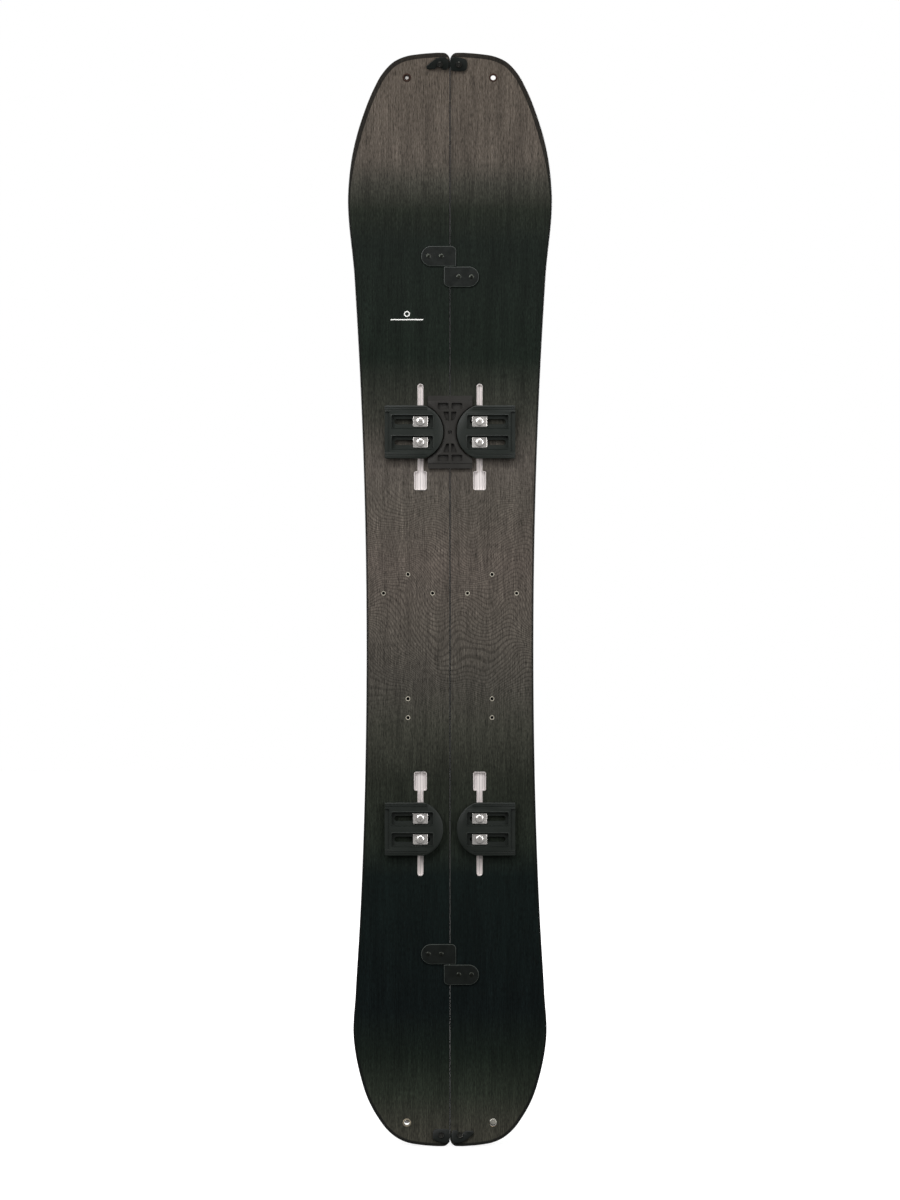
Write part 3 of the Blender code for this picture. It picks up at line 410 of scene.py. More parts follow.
def base_sheet():
    """Sintered black polyethylene with a stone-ground structure and a pale contour graphic; its lighter
    grey middle is a painted sheen.
    """
    paint = Shading("base_sheet", roughness=0.32)
    # The grey that lightens towards the middle of the board is a painted sheen.
    colour = paint.along([
        (0.05, srgb(33, 35, 34)), (0.30, srgb(33, 35, 34)), (0.46, srgb(44, 46, 45)),
        (0.60, srgb(66, 66, 65)), (0.76, srgb(78, 78, 77)), (0.92, srgb(70, 70, 69)),
        (1.08, srgb(48, 49, 48)), (1.20, srgb(33, 35, 34)), (1.60, srgb(30, 32, 31)),
    ])
    structure = paint.noise((1500, 0, 60), 2.0, 0.5)
    mottle = paint.noise((220, 0, 300), 3.0, 0.6)
    colour = paint.shade(colour, structure, 0.72, 1.28)
    colour = paint.shade(colour, mottle, 0.80, 1.20)
    area = graphic_area(paint)
    lines = paint.swirls(120, 110, (11, 0, 9), 26.0, 0.21)
    pale = paint.mix(lines, srgb(204, 205, 203), srgb(46, 48, 47))
    colour = paint.mix(area, colour, pale)
    paint.set("Base Color", colour)
    paint.set("Roughness", paint.between(mottle, 0.2, 0.8, 0.26, 0.40))
    paint.set("Specular IOR Level", 0.16)
    paint.bump(structure, 0.00005)
    return paint.material


def brushed(name, colour, roughness, across, along, contrast=0.16, metallic=1.0):
    """Bare metal with brush lines: across and along are grains per metre."""
    paint = Shading(name, roughness, metallic)
    lines = paint.noise((across, across, along), 3.0, 0.6)
    smudges = paint.noise((45, 45, 45), 2.0, 0.5)
    tone = paint.shade(colour, lines, 1 - contrast, 1 + contrast)
    tone = paint.shade(tone, smudges, 0.90, 1.08)
    paint.set("Base Color", tone)
    paint.set("Roughness", paint.between(smudges, 0.2, 0.8, roughness - 0.06, roughness + 0.08))
    paint.bump(lines, 0.00003)
    return paint.material


def track_metal(colour):
    """Brushed aluminium with faint drawn ridges along the track; the darker stripes along the ridges are
    painted shade.
    """
    paint = Shading("track_brushed", 0.42, metallic=0.3)
    across = paint.math("SUBTRACT", paint.math("ABSOLUTE", paint.x), TRACK_X)
    ridges = paint.math("PINGPONG", paint.math("MULTIPLY", across, 250.0), 0.5)
    lines = paint.noise((1500, 1500, 30), 3.0, 0.6)
    # Darker stripes by the ridges: painted shade. The ridges themselves are a bump.
    tone = paint.shade(colour, paint.between(ridges, 0.02, 0.20), 0.66, 1.0)
    paint.set("Base Color", paint.shade(tone, lines, 0.88, 1.12))
    paint.bump(ridges, 0.0003)
    return paint.material


def grained(name, roughness, metallic, colour, grain, detail, light, depth):
    """One grain in tone and height, on one colour or on a list of colours by height."""
    paint = Shading(name, roughness, metallic)
    if isinstance(colour, list):
        colour = paint.along(colour)
    texture = paint.noise(grain, *detail)
    paint.set("Base Color", paint.shade(colour, texture, *light))
    paint.bump(texture, depth)
    return paint.material


def moulded(name, colour, roughness, grain, depth, fleck=0.15):
    """Moulded plastic or rubber: fine texture, slight flecks and soft tone changes."""
    paint = Shading(name, roughness)
    texture = paint.noise((grain, grain, grain), 3.0, 0.6)
    tone = paint.noise((30, 30, 30), 2.0, 0.5)
    shaded = paint.shade(colour, texture, 1 - fleck, 1 + fleck)
    shaded = paint.shade(shaded, tone, 0.84, 1.16)
    paint.set("Base Color", shaded)
    paint.set("Roughness", paint.between(tone, 0.2, 0.8, roughness - 0.06, roughness + 0.06))
    paint.set("Specular IOR Level", 0.30)
    paint.bump(texture, depth)
    return paint.material


def coated_metal(name, colour):
    """Powder coat with slight wear."""
    paint = Shading(name, 0.42)
    peel = paint.noise((700, 700, 700), 2.0, 0.5)
    wear = paint.noise((90, 90, 90), 3.0, 0.6)
    colour = paint.shade(colour, wear, 0.75, 1.35)
    paint.set("Base Color", colour)
    paint.set("Specular IOR Level", 0.16)
    paint.set("Roughness", paint.between(wear, 0.2, 0.8, 0.34, 0.48))
    paint.bump(peel, 0.00004)
    return paint.material


def wood_core():
    """Glued wood strips, seen only where a hole or a track pocket cuts the core."""
    paint = Shading("wood_core_strips", 0.6)
    strip = paint.math("FLOOR", paint.math("MULTIPLY", paint.x, 90.0))
    tone = paint.math("FRACT", paint.math("MULTIPLY", strip, 0.618))
    grain = paint.noise((700, 700, 12), 3.0, 0.6)
    colour = paint.mix(tone, srgb(196, 164, 120), srgb(168, 128, 84))
    paint.set("Base Color", paint.shade(colour, grain, 0.8, 1.15))
    paint.bump(grain, 0.00008)
    return paint.material


def skin_plush():
    """Short dense pile that leans to the tail, with a lighter middle."""
    paint = Shading("skin_plush", 0.92)
    colour = paint.along([
        (0.15, srgb(154, 205, 56)), (0.30, srgb(177, 215, 66)), (0.44, srgb(199, 222, 80)),
        (0.60, srgb(209, 226, 90)), (0.80, srgb(199, 223, 79)), (1.00, srgb(178, 208, 66)),
        (1.30, srgb(148, 190, 55)), (1.56, srgb(126, 173, 46)),
    ])
    pile = paint.noise((2600, 2600, 700), 3.0, 0.65)
    tufts = paint.noise((420, 420, 110), 3.0, 0.6)
    lie = paint.noise((26, 26, 5), 2.0, 0.5)
    colour = paint.shade(colour, pile, 0.80, 1.18)
    colour = paint.shade(colour, tufts, 0.93, 1.06)
    colour = paint.shade(colour, lie, 0.95, 1.05)
    paint.set("Base Color", colour)
    paint.set("Sheen Weight", 0.35)
    paint.set("Sheen Roughness", 0.4)
    paint.set("Sheen Tint", srgb(220, 236, 150))
    paint.set("Specular IOR Level", 0.15)
    height = paint.math("ADD", pile, paint.math("MULTIPLY", tufts, 1.5))
    paint.bump(height, 0.00022)
    return paint.material


def webbing():
    """Woven elastic: ribs along the strap and weft threads across it."""
    paint = Shading("webbing_weave", 0.75)
    ribs = paint.math("PINGPONG", paint.math("MULTIPLY", paint.x, 620.0), 0.5)
    weft = paint.math("PINGPONG", paint.math("MULTIPLY", paint.z, 900.0), 0.5)
    fuzz = paint.noise((1600, 1600, 1600), 2.0, 0.6)
    threads = paint.math("MULTIPLY", ribs, paint.math("ADD", weft, 0.6))
    colour = paint.shade(srgb(30, 31, 30), fuzz, 0.6, 1.5)
    paint.set("Base Color", paint.shade(colour, threads, 0.6, 1.6))
    paint.bump(threads, 0.0004)
    return paint.material


def make_materials():
    silver, steel = srgb(224, 217, 215), srgb(228, 224, 220)
    return {
        "veneer": veneer("veneer_lacquered", border_and_seam_shade=False),
        # Near-black paint: the topsheet's real border, and painted shade along the seam.
        "border_and_seam_shade": veneer("veneer_border_and_seam_shade", border_and_seam_shade=True),
        "base": base_sheet(),
        "edge_steel": brushed("edge_steel_ground", srgb(186, 184, 184), 0.30, 1200, 20),
        "sidewall": grained(
            "side_wall", 0.46, 0.0, srgb(27, 28, 27), (500, 500, 22), (3.0, 0.6), (0.6, 1.5), 0.00005),
        "wood_core": wood_core(),
        "track_metal": track_metal(silver),
        "bright_steel": brushed("bright_steel_plated", steel, 0.24, 500, 500, 0.08, 0.8),
        "insert_rim": brushed("insert_rim_plated", srgb(206, 200, 184), 0.34, 500, 500, 0.1, 0.5),
        # Near black inside the inserts: painted shade in the holes.
        "bore": moulded("bore_painted_shade", srgb(14, 14, 13), 0.50, 900, 0.00002),
        "dark_steel": brushed("dark_steel_screw", srgb(52, 54, 50), 0.34, 500, 500),
        "clip_bolt": brushed("clip_bolt_blackened", srgb(96, 96, 92), 0.16, 500, 500),
        "nylon": moulded("nylon_moulded", srgb(21, 26, 22), 0.46, 1500, 0.00005),
        "jig": moulded("nylon_jig", srgb(31, 29, 26), 0.50, 1500, 0.00005),
        "hook_plate": coated_metal("coated_metal", srgb(17, 20, 18)),
        # Lighter coat for the hooks' sloped faces: a painted highlight where light catches the rim and
        # the dish's slope.
        "hook_rim_highlight": coated_metal("coated_metal_painted_highlight", srgb(58, 62, 59)),
        "tip_metal": grained(
            "tip_metal", 0.40, 1.0, [(0.2, srgb(150, 150, 147)), (1.4, srgb(96, 98, 93))],
            (1400, 1400, 1400), (2.0, 0.6), (0.80, 1.15), 0.00003),
        "eyelet": grained(
            "eyelet_metal", 0.40, 0.7, [(0.3, srgb(126, 118, 102)), (1.2, srgb(66, 48, 40))],
            (400, 400, 400), (2.0, 0.5), (0.7, 1.25), 0.00003),
        "plush": skin_plush(),
        "skin_backing": grained(
            "skin_backing", 0.8, 0.0, srgb(196, 208, 160), (1800, 1800, 1800), (2.0, 0.5),
            (0.75, 1.15), 0.00008),
        "rubber": moulded("rubber_moulded", srgb(17, 19, 19), 0.52, 900, 0.00006, 0.25),
        "webbing": webbing(),
        "plug": brushed("plug_metal", srgb(158, 156, 148), 0.36, 600, 600),
    }


# ---- the board's curves ----
def ease(share):
    share = min(max(share, 0.0), 1.0)
    return share * share * (3 - 2 * share)


def rise(z):
    """How far the base stands off the plane of its contact points, towards the topsheet."""
    nose = max(0.0, (z - NOSE_CONTACT) / (LENGTH - NOSE_CONTACT))
    tail = max(0.0, (TAIL_CONTACT - z) / TAIL_CONTACT)
    arch = ease((z - TAIL_CONTACT) / CAMBER_RUN) * ease((NOSE_CONTACT - z) / CAMBER_RUN)
    return CAMBER * arch + NOSE_RISE * nose ** 2 + TAIL_RISE * tail ** 2


def thickness(z):
    share = ease(min(z, LENGTH - z) / THICKNESS_RUN)
    return TIP_THICKNESS + (MIDDLE_THICKNESS - TIP_THICKNESS) * share


def above_base(distance):
    return lambda z: distance


def below_top(distance):
    return lambda z: thickness(z) - distance


def below_base(distance):
    return above_base(-distance)


def depth_at(z, level):
    """Y of a surface whose level is measured from the base towards the topsheet."""
    return DEPTH_CENTRE - rise(z) - level(z)


def surface_frame(z, level, x=0.0, turned=0.0):
    """Frame on the board: its X lies across, its Y along and its Z out of the topsheet."""
    step = 0.001
    slope = (rise(z + step) + level(z + step) - rise(z - step) - level(z - step)) / (2 * step)
    upright = Matrix.Rotation(math.pi / 2 + math.atan(slope), 4, "X")
    spot = Matrix.Translation((x, depth_at(z, level), z))
    return spot @ upright @ Matrix.Rotation(turned, 4, "Z")


def top_frame(z, x=0.0, turned=0.0):
    return surface_frame(z, below_top(0.0), x, turned)


def base_frame(z, x=0.0):
    """Frame on the base whose Z points out of the base, and whose Y runs up the board."""
    return surface_frame(z, above_base(0.0), x) @ Matrix.Rotation(math.pi, 4, "Y")


def smooth_curve(points):
    """Points along a curve through the given ones, closer together where the board bends."""
    points = [Vector(p) for p in points]
    spans = [(b - a).length for a, b in zip(points, points[1:])]
    slopes = []
    for i, point in enumerate(points):
        before = (point - points[i - 1]) / spans[i - 1] if i else None
        after = (points[i + 1] - point) / spans[i] if i < len(spans) else None
        if before is None or after is None:
            slopes.append(before or after)
            continue
        total = spans[i - 1] + spans[i]
        slopes.append((before * spans[i] + after * spans[i - 1]) / total)
    curve = []
    for i, span in enumerate(spans):
        flat = TAIL_CONTACT + CAMBER_RUN < points[i].y < NOSE_CONTACT - CAMBER_RUN
        steps = max(2, round(span / (MIDDLE_STEP if flat else TIP_STEP)))
        for step in range(steps):
            t = step / steps
            curve.append(
                points[i] * (2 * t ** 3 - 3 * t ** 2 + 1)
                + points[i + 1] * (3 * t ** 2 - 2 * t ** 3)
                + slopes[i] * span * (t ** 3 - 2 * t ** 2 + t)
                + slopes[i + 1] * span * (t ** 3 - t ** 2)
            )
    return curve + [points[-1]]


EDGE_CURVE = smooth_curve(OUTLINE)


def outer_edge(inset):
    """The outer edge drawn in by a number or a function of height."""
    moved = []
    for i, point in enumerate(EDGE_CURVE):
        ahead = EDGE_CURVE[min(i + 1, len(EDGE_CURVE) - 1)]
        along = (ahead - EDGE_CURVE[max(i - 1, 0)]).normalized()
        reach = inset(point.y) if callable(inset) else inset
        moved.append(point - reach * Vector((along.y, -along.x)))
    moved[0].y = inset(0.0) if callable(inset) else inset
    moved[-1].y = LENGTH - (inset(LENGTH) if callable(inset) else inset)
    return moved


def seam_edge(z, inset):
    """Distance from the seam plane to a half's inner edge, whose two corners are rounded."""
    straight = SEAM_GAP + inset
    into_corner = CORNER_RADIUS - min(z, LENGTH - z)
    if into_corner <= 0:
        return straight
    radius = CORNER_RADIUS - inset
    return straight + radius - math.sqrt(max(radius ** 2 - into_corner ** 2, 0.0))


def half_ring(side, inset, level, seam_inset=None):
    """Closed 3-D outline of a half at one inset and level: up the outer edge, down the seam."""
    seam_inset = inset if seam_inset is None else seam_inset
    outer = outer_edge(inset)
    ring = [Vector((side * p.x, depth_at(p.y, level), p.y)) for p in outer]
    for p in reversed(outer):
        ring.append(Vector((side * seam_edge(p.y, seam_inset), depth_at(p.y, level), p.y)))
    return ring


# ---- mesh helpers ----
def add_ring(mesh, points):
    return [mesh.verts.new(p) for p in points]


def bridge(mesh, first, second, material=0):
    """Quads between two rings with as many points."""
    made = []
    for i, vert in enumerate(first):
        j = (i + 1) % len(first)
        made.append(mesh.faces.new((vert, first[j], second[j], second[i])))
        made[-1].material_index = material
    return made


def fill_half(mesh, ring):
    """Quads across a half's ring, from its outer edge to its seam edge."""
    return [mesh.faces.new((ring[i], ring[i + 1], ring[-2 - i], ring[-1 - i]))
            for i in range(len(ring) // 2 - 1)]


def face_out(mesh, faces):
    """Turns one closed body's faces outwards."""
    mesh.normal_update()
    bmesh.ops.recalc_face_normals(mesh, faces=faces)
    flow = sum(f.normal.dot(f.calc_center_median() - faces[0].verts[0].co) * f.calc_area()
               for f in faces)
    if flow < 0:
        bmesh.ops.reverse_faces(mesh, faces=faces)


def join_half(mesh, rings, rim_material=0):
    """A closed sheet in a half's shape from its rings."""
    faces = fill_half(mesh, rings[0]) + fill_half(mesh, rings[-1])
    for first, second in zip(rings, rings[1:]):
        faces += bridge(mesh, first, second, rim_material)
    face_out(mesh, faces)


def finish_mesh(name, mesh, materials, sharp=32):
    """An object from a bmesh, in the row frame."""
    data = bpy.data.meshes.new(name)
    mesh.to_mesh(data)
    mesh.free()
    for material in materials:
        data.materials.append(MATERIALS[material])
    data.shade_smooth()
    data.set_sharp_from_angle(angle=math.radians(sharp))
    made = bpy.data.objects.new(name, data)
    bpy.context.scene.collection.objects.link(made)
    return made


def apply_modifiers(thing, sharp=32):
    bpy.context.view_layer.update()
    graph = bpy.context.evaluated_depsgraph_get()
    data = bpy.data.meshes.new_from_object(thing.evaluated_get(graph))
    data.name = thing.name
    thing.modifiers.clear()
    thing.data = data
    data.shade_smooth()
    data.set_sharp_from_angle(angle=math.radians(sharp))


def combine(thing, tools, operation="DIFFERENCE", sharp=32, crossing=False):
    """Applies a Boolean, worked out in millimetres; crossing is for tools that cross each other."""
    data = bpy.data.meshes.new("tools")
    tools.to_mesh(data)
    tools.free()
    data.transform(Matrix.Scale(1000, 4))
    thing.data.transform(Matrix.Scale(1000, 4))
    tool = bpy.data.objects.new("tools", data)
    bpy.context.scene.collection.objects.link(tool)
    step = thing.modifiers.new("tools", "BOOLEAN")
    step.operation = operation
    step.solver = "EXACT"
    step.use_self = crossing
    step.object = tool
    apply_modifiers(thing, sharp)
    thing.data.transform(Matrix.Scale(0.001, 4))
    bpy.data.objects.remove(tool)
    bpy.data.meshes.remove(data)


def drawn_in(outline, distance):
    """A closed outline moved inwards; a negative distance moves it out."""
    area = sum(a[0] * b[1] - b[0] * a[1] for a, b in zip(outline, outline[1:] + outline[:1]))
    turn = 1 if area > 0 else -1
    moved = []
    for i, point in enumerate(outline):
        point = Vector(point)
        back = (point - Vector(outline[i - 1])).normalized()
        ahead = (Vector(outline[(i + 1) % len(outline)]) - point).normalized()
        normal_back = Vector((-back.y, back.x)) * turn
        normal_ahead = Vector((-ahead.y, ahead.x)) * turn
        miter = (normal_back + normal_ahead) / max(1 + normal_back.dot(normal_ahead), 0.35)
        moved.append(point + miter * distance)
    return moved


def stack(mesh, outline, levels, where=None):
    """Adds a closed solid to the mesh: the outline at (inset, height) levels, capped at both ends."""
    where = where or Matrix()
    rings = []
    for inset, height in levels:
        points = [where @ Vector((x, y, height)) for x, y in drawn_in(outline, inset)]
        rings.append(add_ring(mesh, points))
    faces = [mesh.faces.new(rings[0]), mesh.faces.new(rings[-1])]
    for first, second in zip(rings, rings[1:]):
        faces += bridge(mesh, first, second)
    face_out(mesh, faces)
    return mesh


def stacked(name, outline, levels, materials, sharp=32):
    """An object made of one stack."""
    return finish_mesh(name, stack(bmesh.new(), outline, levels), materials, sharp)


def crisp(low, high, bevel):
    """Levels of a block whose top edge is softened."""
    return [(0, low), (0, high - bevel), (0.3 * bevel, high - 0.3 * bevel), (bevel, high)]


def rounded(corners, steps=6):
    """An outline from (x, y, radius) corners."""
    outline = []
    for i, (x, y, radius) in enumerate(corners):
        corner = Vector((x, y))
        if radius <= 0:
            outline.append((x, y))
            continue
        back = (Vector(corners[i - 1][:2]) - corner).normalized()
        ahead = (Vector(corners[(i + 1) % len(corners)][:2]) - corner).normalized()
        half = back.angle(ahead) / 2
        reach = radius / math.tan(half)
        centre = corner + (back + ahead).normalized() * radius / math.sin(half)
        start = corner + back * reach - centre
        sweep = start.angle_signed(corner + ahead * reach - centre)
        for step in range(steps + 1):
            outline.append(tuple(centre + Matrix.Rotation(-sweep * step / steps, 2) @ start))
    return outline


def box_outline(x_range, y_range, radius, steps=6):
    (x0, x1), (y0, y1) = x_range, y_range
    return rounded([(x0, y0, radius), (x1, y0, radius), (x1, y1, radius), (x0, y1, radius)], steps)


def spaced(start, end, steps):
    """Evenly spaced numbers from start to end, both included."""
    return [start + (end - start) * step / steps for step in range(steps + 1)]


def arc(centre, radius, start, end, steps):
    return [(centre[0] + radius * math.cos(a), centre[1] + radius * math.sin(a))
            for a in spaced(start, end, steps)]


def circle(centre, radius, steps=32):
    return arc(centre, radius, 0, math.tau * (steps - 1) / steps, steps - 1)


def lathe(mesh, profile, where=None, steps=40):
    """Adds a solid turned about Z from (radius, height) points; it closes on the axis or on itself."""
    where = where or Matrix()
    rings = []
    for radius, height in profile:
        count = steps if radius > 0 else 1
        spots = [Vector((radius * math.cos(math.tau * i / count),
                         radius * math.sin(math.tau * i / count), height)) for i in range(count)]
        rings.append([mesh.verts.new(where @ spot) for spot in spots])
    pairs = list(zip(rings, rings[1:]))
    if profile[0][0] > 0:
        pairs.append((rings[-1], rings[0]))
    faces = []
    for first, second in pairs:
        if len(first) == len(second):
            faces += bridge(mesh, first, second)
            continue
        apex, ring = (first[0], second) if len(first) == 1 else (second[0], first)
        faces += [mesh.faces.new((apex, ring[i - 1], ring[i])) for i in range(len(ring))]
    face_out(mesh, faces)
    return mesh


def bar(mesh, radius, low, high, where=None, steps=40):
    """Adds a plain round bar along Z."""
    return lathe(mesh, [(0, low), (radius, low), (radius, high), (0, high)], where, steps)


def dome(radius, base, height, reach, steps):
    """A rounded head's profile, from so many degrees above its rim down to the rim."""
    angles = [math.radians(angle) for angle in spaced(reach, 0, steps)]
    return [(radius * math.cos(a), base + height * math.sin(a)) for a in angles]


def thicken(thing, thickness, outwards, sharp, rim=0):
    """Gives an open surface a thickness, towards +Y if outwards is 1 and towards -Y if it is -1."""
    facing = thing.data.polygons[0].normal.y
    solid = thing.modifiers.new("thickness", "SOLIDIFY")
    solid.thickness = thickness
    solid.offset = outwards if facing > 0 else -outwards
    solid.material_offset_rim = rim
    apply_modifiers(thing, sharp)


def only_mesh(thing):
    """The mesh of an object that is not kept itself."""
    data = thing.data
    bpy.data.objects.remove(thing)
    return data


def placed_copy(name, data, where):
    copy = data.copy()
    copy.transform(where)
    made = bpy.data.objects.new(name, copy)
    bpy.context.scene.collection.objects.link(made)
    return made


def mirrored(outline, side):
    return [(side * x, y) for x, y in outline]


def side_range(side, low, high):
    return tuple(sorted((side * low, side * high)))


def rides_with(thing, node):
    """The piece rides on a CAD node's body."""
    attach(thing, frame["nodes"][node]["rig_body"])


def stands_for(thing, node, where=None):
    """The piece replaces a CAD node. It is moved there first if it was modelled about the origin."""
    if where:
        thing.data.transform(where)
    rides_with(thing, node)
    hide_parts(node)


# ---- the two halves ----
def border_width(z):
    nose = 0.0042 * ease((z - 1.40) / 0.10)
    tail = 0.0018 * ease((0.18 - z) / 0.08)
    return 0.0030 + nose + tail


def keyhole(end):
    """A track's outline in its own frame: a wide entry, then a narrow run with a round end."""
    wide_end, narrow_end = TRACKS[end]
    middle = (wide_end + narrow_end) / 2
    direction = 1 if narrow_end > wide_end else -1
    half, entry = TRACK_WIDTH / 2, TRACK_ENTRY_WIDTH / 2
    start = wide_end - middle
    shoulder = start + direction * TRACK_ENTRY_LENGTH
    tip = narrow_end - middle
    return rounded([
        (half, shoulder, 0.0012), (entry, shoulder, 0.0022), (entry, start, 0.0030),
        (-entry, start, 0.0030), (-entry, shoulder, 0.0022), (-half, shoulder, 0.0012),
        (-half, tip, half * 0.98), (half, tip, half * 0.98),
    ])


def track_frame(end, side):
    wide_end, narrow_end = TRACKS[end]
    return top_frame((wide_end + narrow_end) / 2, side * TRACK_X)


def bolt_x(end, side):
    """The lever pivots on the left half at the nose and on the right half at the tail."""
    has_lever = (end == "nose") == (side < 0)
    return side * (CLIP_PIVOT_X if has_lever else CLIP_KEEPER_BOLT_X)


def through_holes(side):
    """Tools for the skin holes, whose axes run along Y, and for the clip bolts."""
    tools = bmesh.new()
    for z in HOLE_Z.values():
        along_y = Matrix.Translation((side * SKIN_HOLE_X, 0, z)) @ Matrix.Rotation(math.pi / 2, 4, "X")
        bar(tools, SKIN_HOLE_RADIUS, -2 * THROUGH, 2 * THROUGH, along_y)
    for end, z in CLIP_Z.items():
        bar(tools, CLIP_BORE_RADIUS, -THROUGH, THROUGH, top_frame(z, bolt_x(end, side)), 24)
    return tools


def make_topsheet(name, side):
    mesh = bmesh.new()
    under, upper = below_top(TOPSHEET_THICKNESS), below_top(0)
    shape = [
        (0.0008, under), (0.0008, below_top(0.0003)), (0.00092, below_top(0.0001)), (0.0012, upper),
    ]
    rings = [add_ring(mesh, half_ring(side, inset, level, inset * 0.5)) for inset, level in shape]
    # Rim faces take the near-black border paint: a real border round the outer edge, and painted shade in
    # a thin band along the seam that stands for the gap between the halves.
    rings.append(add_ring(mesh, half_ring(side, border_width, upper, 0.0011)))
    join_half(mesh, rings, 1)
    sheet = finish_mesh(f"{name}_veneer", mesh, ["veneer", "border_and_seam_shade"])
    tools = through_holes(side)
    for end in TRACKS:
        stack(tools, drawn_in(keyhole(end), -0.0002), [(0, -0.003), (0, 0.002)],
              track_frame(end, side))
    for x, z in INSERTS:
        bar(tools, INSERT_RADIUS + CLEAR, -0.003, 0.002, top_frame(z, side * x), 32)
    combine(sheet, tools, sharp=40)
    stands_for(sheet, f"{name}_topsheet")


def tip_plate_outline(end, side, grow):
    """Plan of the plate let into a half's base corner, in a frame on the base under the clip."""
    from_seam, from_tip = TIP_PLATE_INSET
    tip_x, back_x = TIP_PLATE_ENDS[end]
    seam, tip, back = SEAM_CLEARANCE + from_seam - grow, from_tip - grow, TIP_PLATE_BACK + grow
    slant = 1.6 * grow
    radius = CORNER_RADIUS - from_seam + grow
    outline = [(seam, back)]
    outline += arc((seam + radius, tip + radius), radius, math.pi, math.pi * 1.5, 12)
    outline += [(tip_x + slant, tip)]
    outline += rounded([(tip_x, tip, 0), (back_x + slant, back, 0.004), (seam, back, 0)], 6)[1:-1]
    if end == "nose":
        outline = [(x, LENGTH - y) for x, y in outline]
    return [(side * x, y - CLIP_Z[end]) for x, y in outline]


def plate_frame(end):
    return surface_frame(CLIP_Z[end], above_base(0.0))


def tip_recesses(tools, side):
    """Adds the tools for the tip plates' recesses in a half's base and steel edge."""
    for end in CLIP_Z:
        stack(tools, tip_plate_outline(end, side, 0.0002), [(0, -0.002), (0, TIP_PLATE_RECESS)],
              plate_frame(end))
    return tools


def make_base(name, side):
    mesh = bmesh.new()
    inset = EDGE_WIDTH + CLEAR
    shape = [(inset, above_base(BASE_THICKNESS)), (inset, above_base(0.0001)),
             (inset + 0.0001, above_base(0.0))]
    join_half(mesh, [add_ring(mesh, half_ring(side, at, level)) for at, level in shape])
    sheet = finish_mesh(f"{name}_base_sheet", mesh, ["base"])
    combine(sheet, tip_recesses(through_holes(side), side), sharp=40, crossing=True)
    stands_for(sheet, f"{name}_base")


def make_rim(name, side, shape, material):
    """A closed rim round a half, from its section as (inset, level) points."""
    mesh = bmesh.new()
    rings = [add_ring(mesh, half_ring(side, inset, level)) for inset, level in shape]
    faces = []
    for first, second in zip(rings, rings[1:] + rings[:1]):
        faces += bridge(mesh, first, second)
    face_out(mesh, faces)
    return finish_mesh(name, mesh, [material], 40)


def make_steel_edge(name, side):
    top, width = EDGE_HEIGHT, EDGE_WIDTH
    shape = [
        (0.00035, above_base(0.0)), (0.0001, above_base(0.0001)), (0.0, above_base(0.00035)),
        (0.0, above_base(top)), (width, above_base(top)), (width, above_base(0.0)),
    ]
    edge = make_rim(f"{name}_edge_strip", side, shape, "edge_steel")
    combine(edge, tip_recesses(bmesh.new(), side), sharp=40)
    stands_for(edge, f"{name}_steel_edge")


def make_sidewall(name, side):
    low = above_base(EDGE_HEIGHT + CLEAR)
    high = below_top(TOPSHEET_THICKNESS + CLEAR)
    shape = [(0.0002, low), (0.0007, high), (SIDEWALL_WIDTH, high), (SIDEWALL_WIDTH, low)]
    wall = make_rim(f"{name}_side_wall", side, shape, "sidewall")
    stands_for(wall, f"{name}_sidewall")


def insert_mesh():
    """A threaded insert with a plated rim and a bore painted near black as shade; its origin is on the
    topsheet.
    """
    pitch = 0.0009
    top, outer, bore = 0.00025, INSERT_RADIUS, 0.0021
    profile = [(0, -INSERT_DEPTH), (outer, -INSERT_DEPTH), (outer, top - 0.0002), (outer - 0.0002, top),
               (bore + 0.0006, top), (bore + 0.0002, top - 0.0004)]
    for turn in range(5):
        height = top - 0.0008 - turn * pitch
        profile += [(bore, height), (bore + 0.0004, height - pitch / 2)]
    floor = -INSERT_DEPTH + 0.0004
    profile += [(bore, floor), (0, floor)]
    insert = finish_mesh("insert", lathe(bmesh.new(), profile, steps=32), ["insert_rim", "bore"], 28)
    for face in insert.data.polygons:
        # Faces below the rim take the near-black bore colour: painted shade inside the hole.
        face.material_index = int(face.center.z < top - 0.0002)
    return only_mesh(insert)


def make_inserts(name, side):
    for number, (x, z) in enumerate(INSERTS, 1):
        insert = placed_copy(f"{name}_threaded_insert_{number}", INSERT, top_frame(z, side * x))
        rides_with(insert, f"{name}_topsheet")


# ---- tip plates and clips ----
def make_tip_plate(end, name, side):
    levels = [(0.0003, 0), (0.0001, 0.0001), (0, 0.0003), (0, TIP_PLATE_THICKNESS)]
    plate = stacked(f"{name}_{end}_corner_plate", tip_plate_outline(end, side, 0), levels, ["tip_metal"])
    radius = CLIP_BOLT_RADIUS + 0.0003
    tools = bmesh.new()
    countersink = [(0, -0.001), (radius + 0.0014, -0.001), (radius + 0.0009, 0.0), (radius, 0.0009),
                   (radius, THROUGH), (0, THROUGH)]
    lathe(tools, countersink, Matrix.Translation((bolt_x(end, side), 0, 0)), 32)
    combine(plate, tools)
    node = f"{name}_{end}_tip_plate"
    stands_for(plate, node, plate_frame(end))


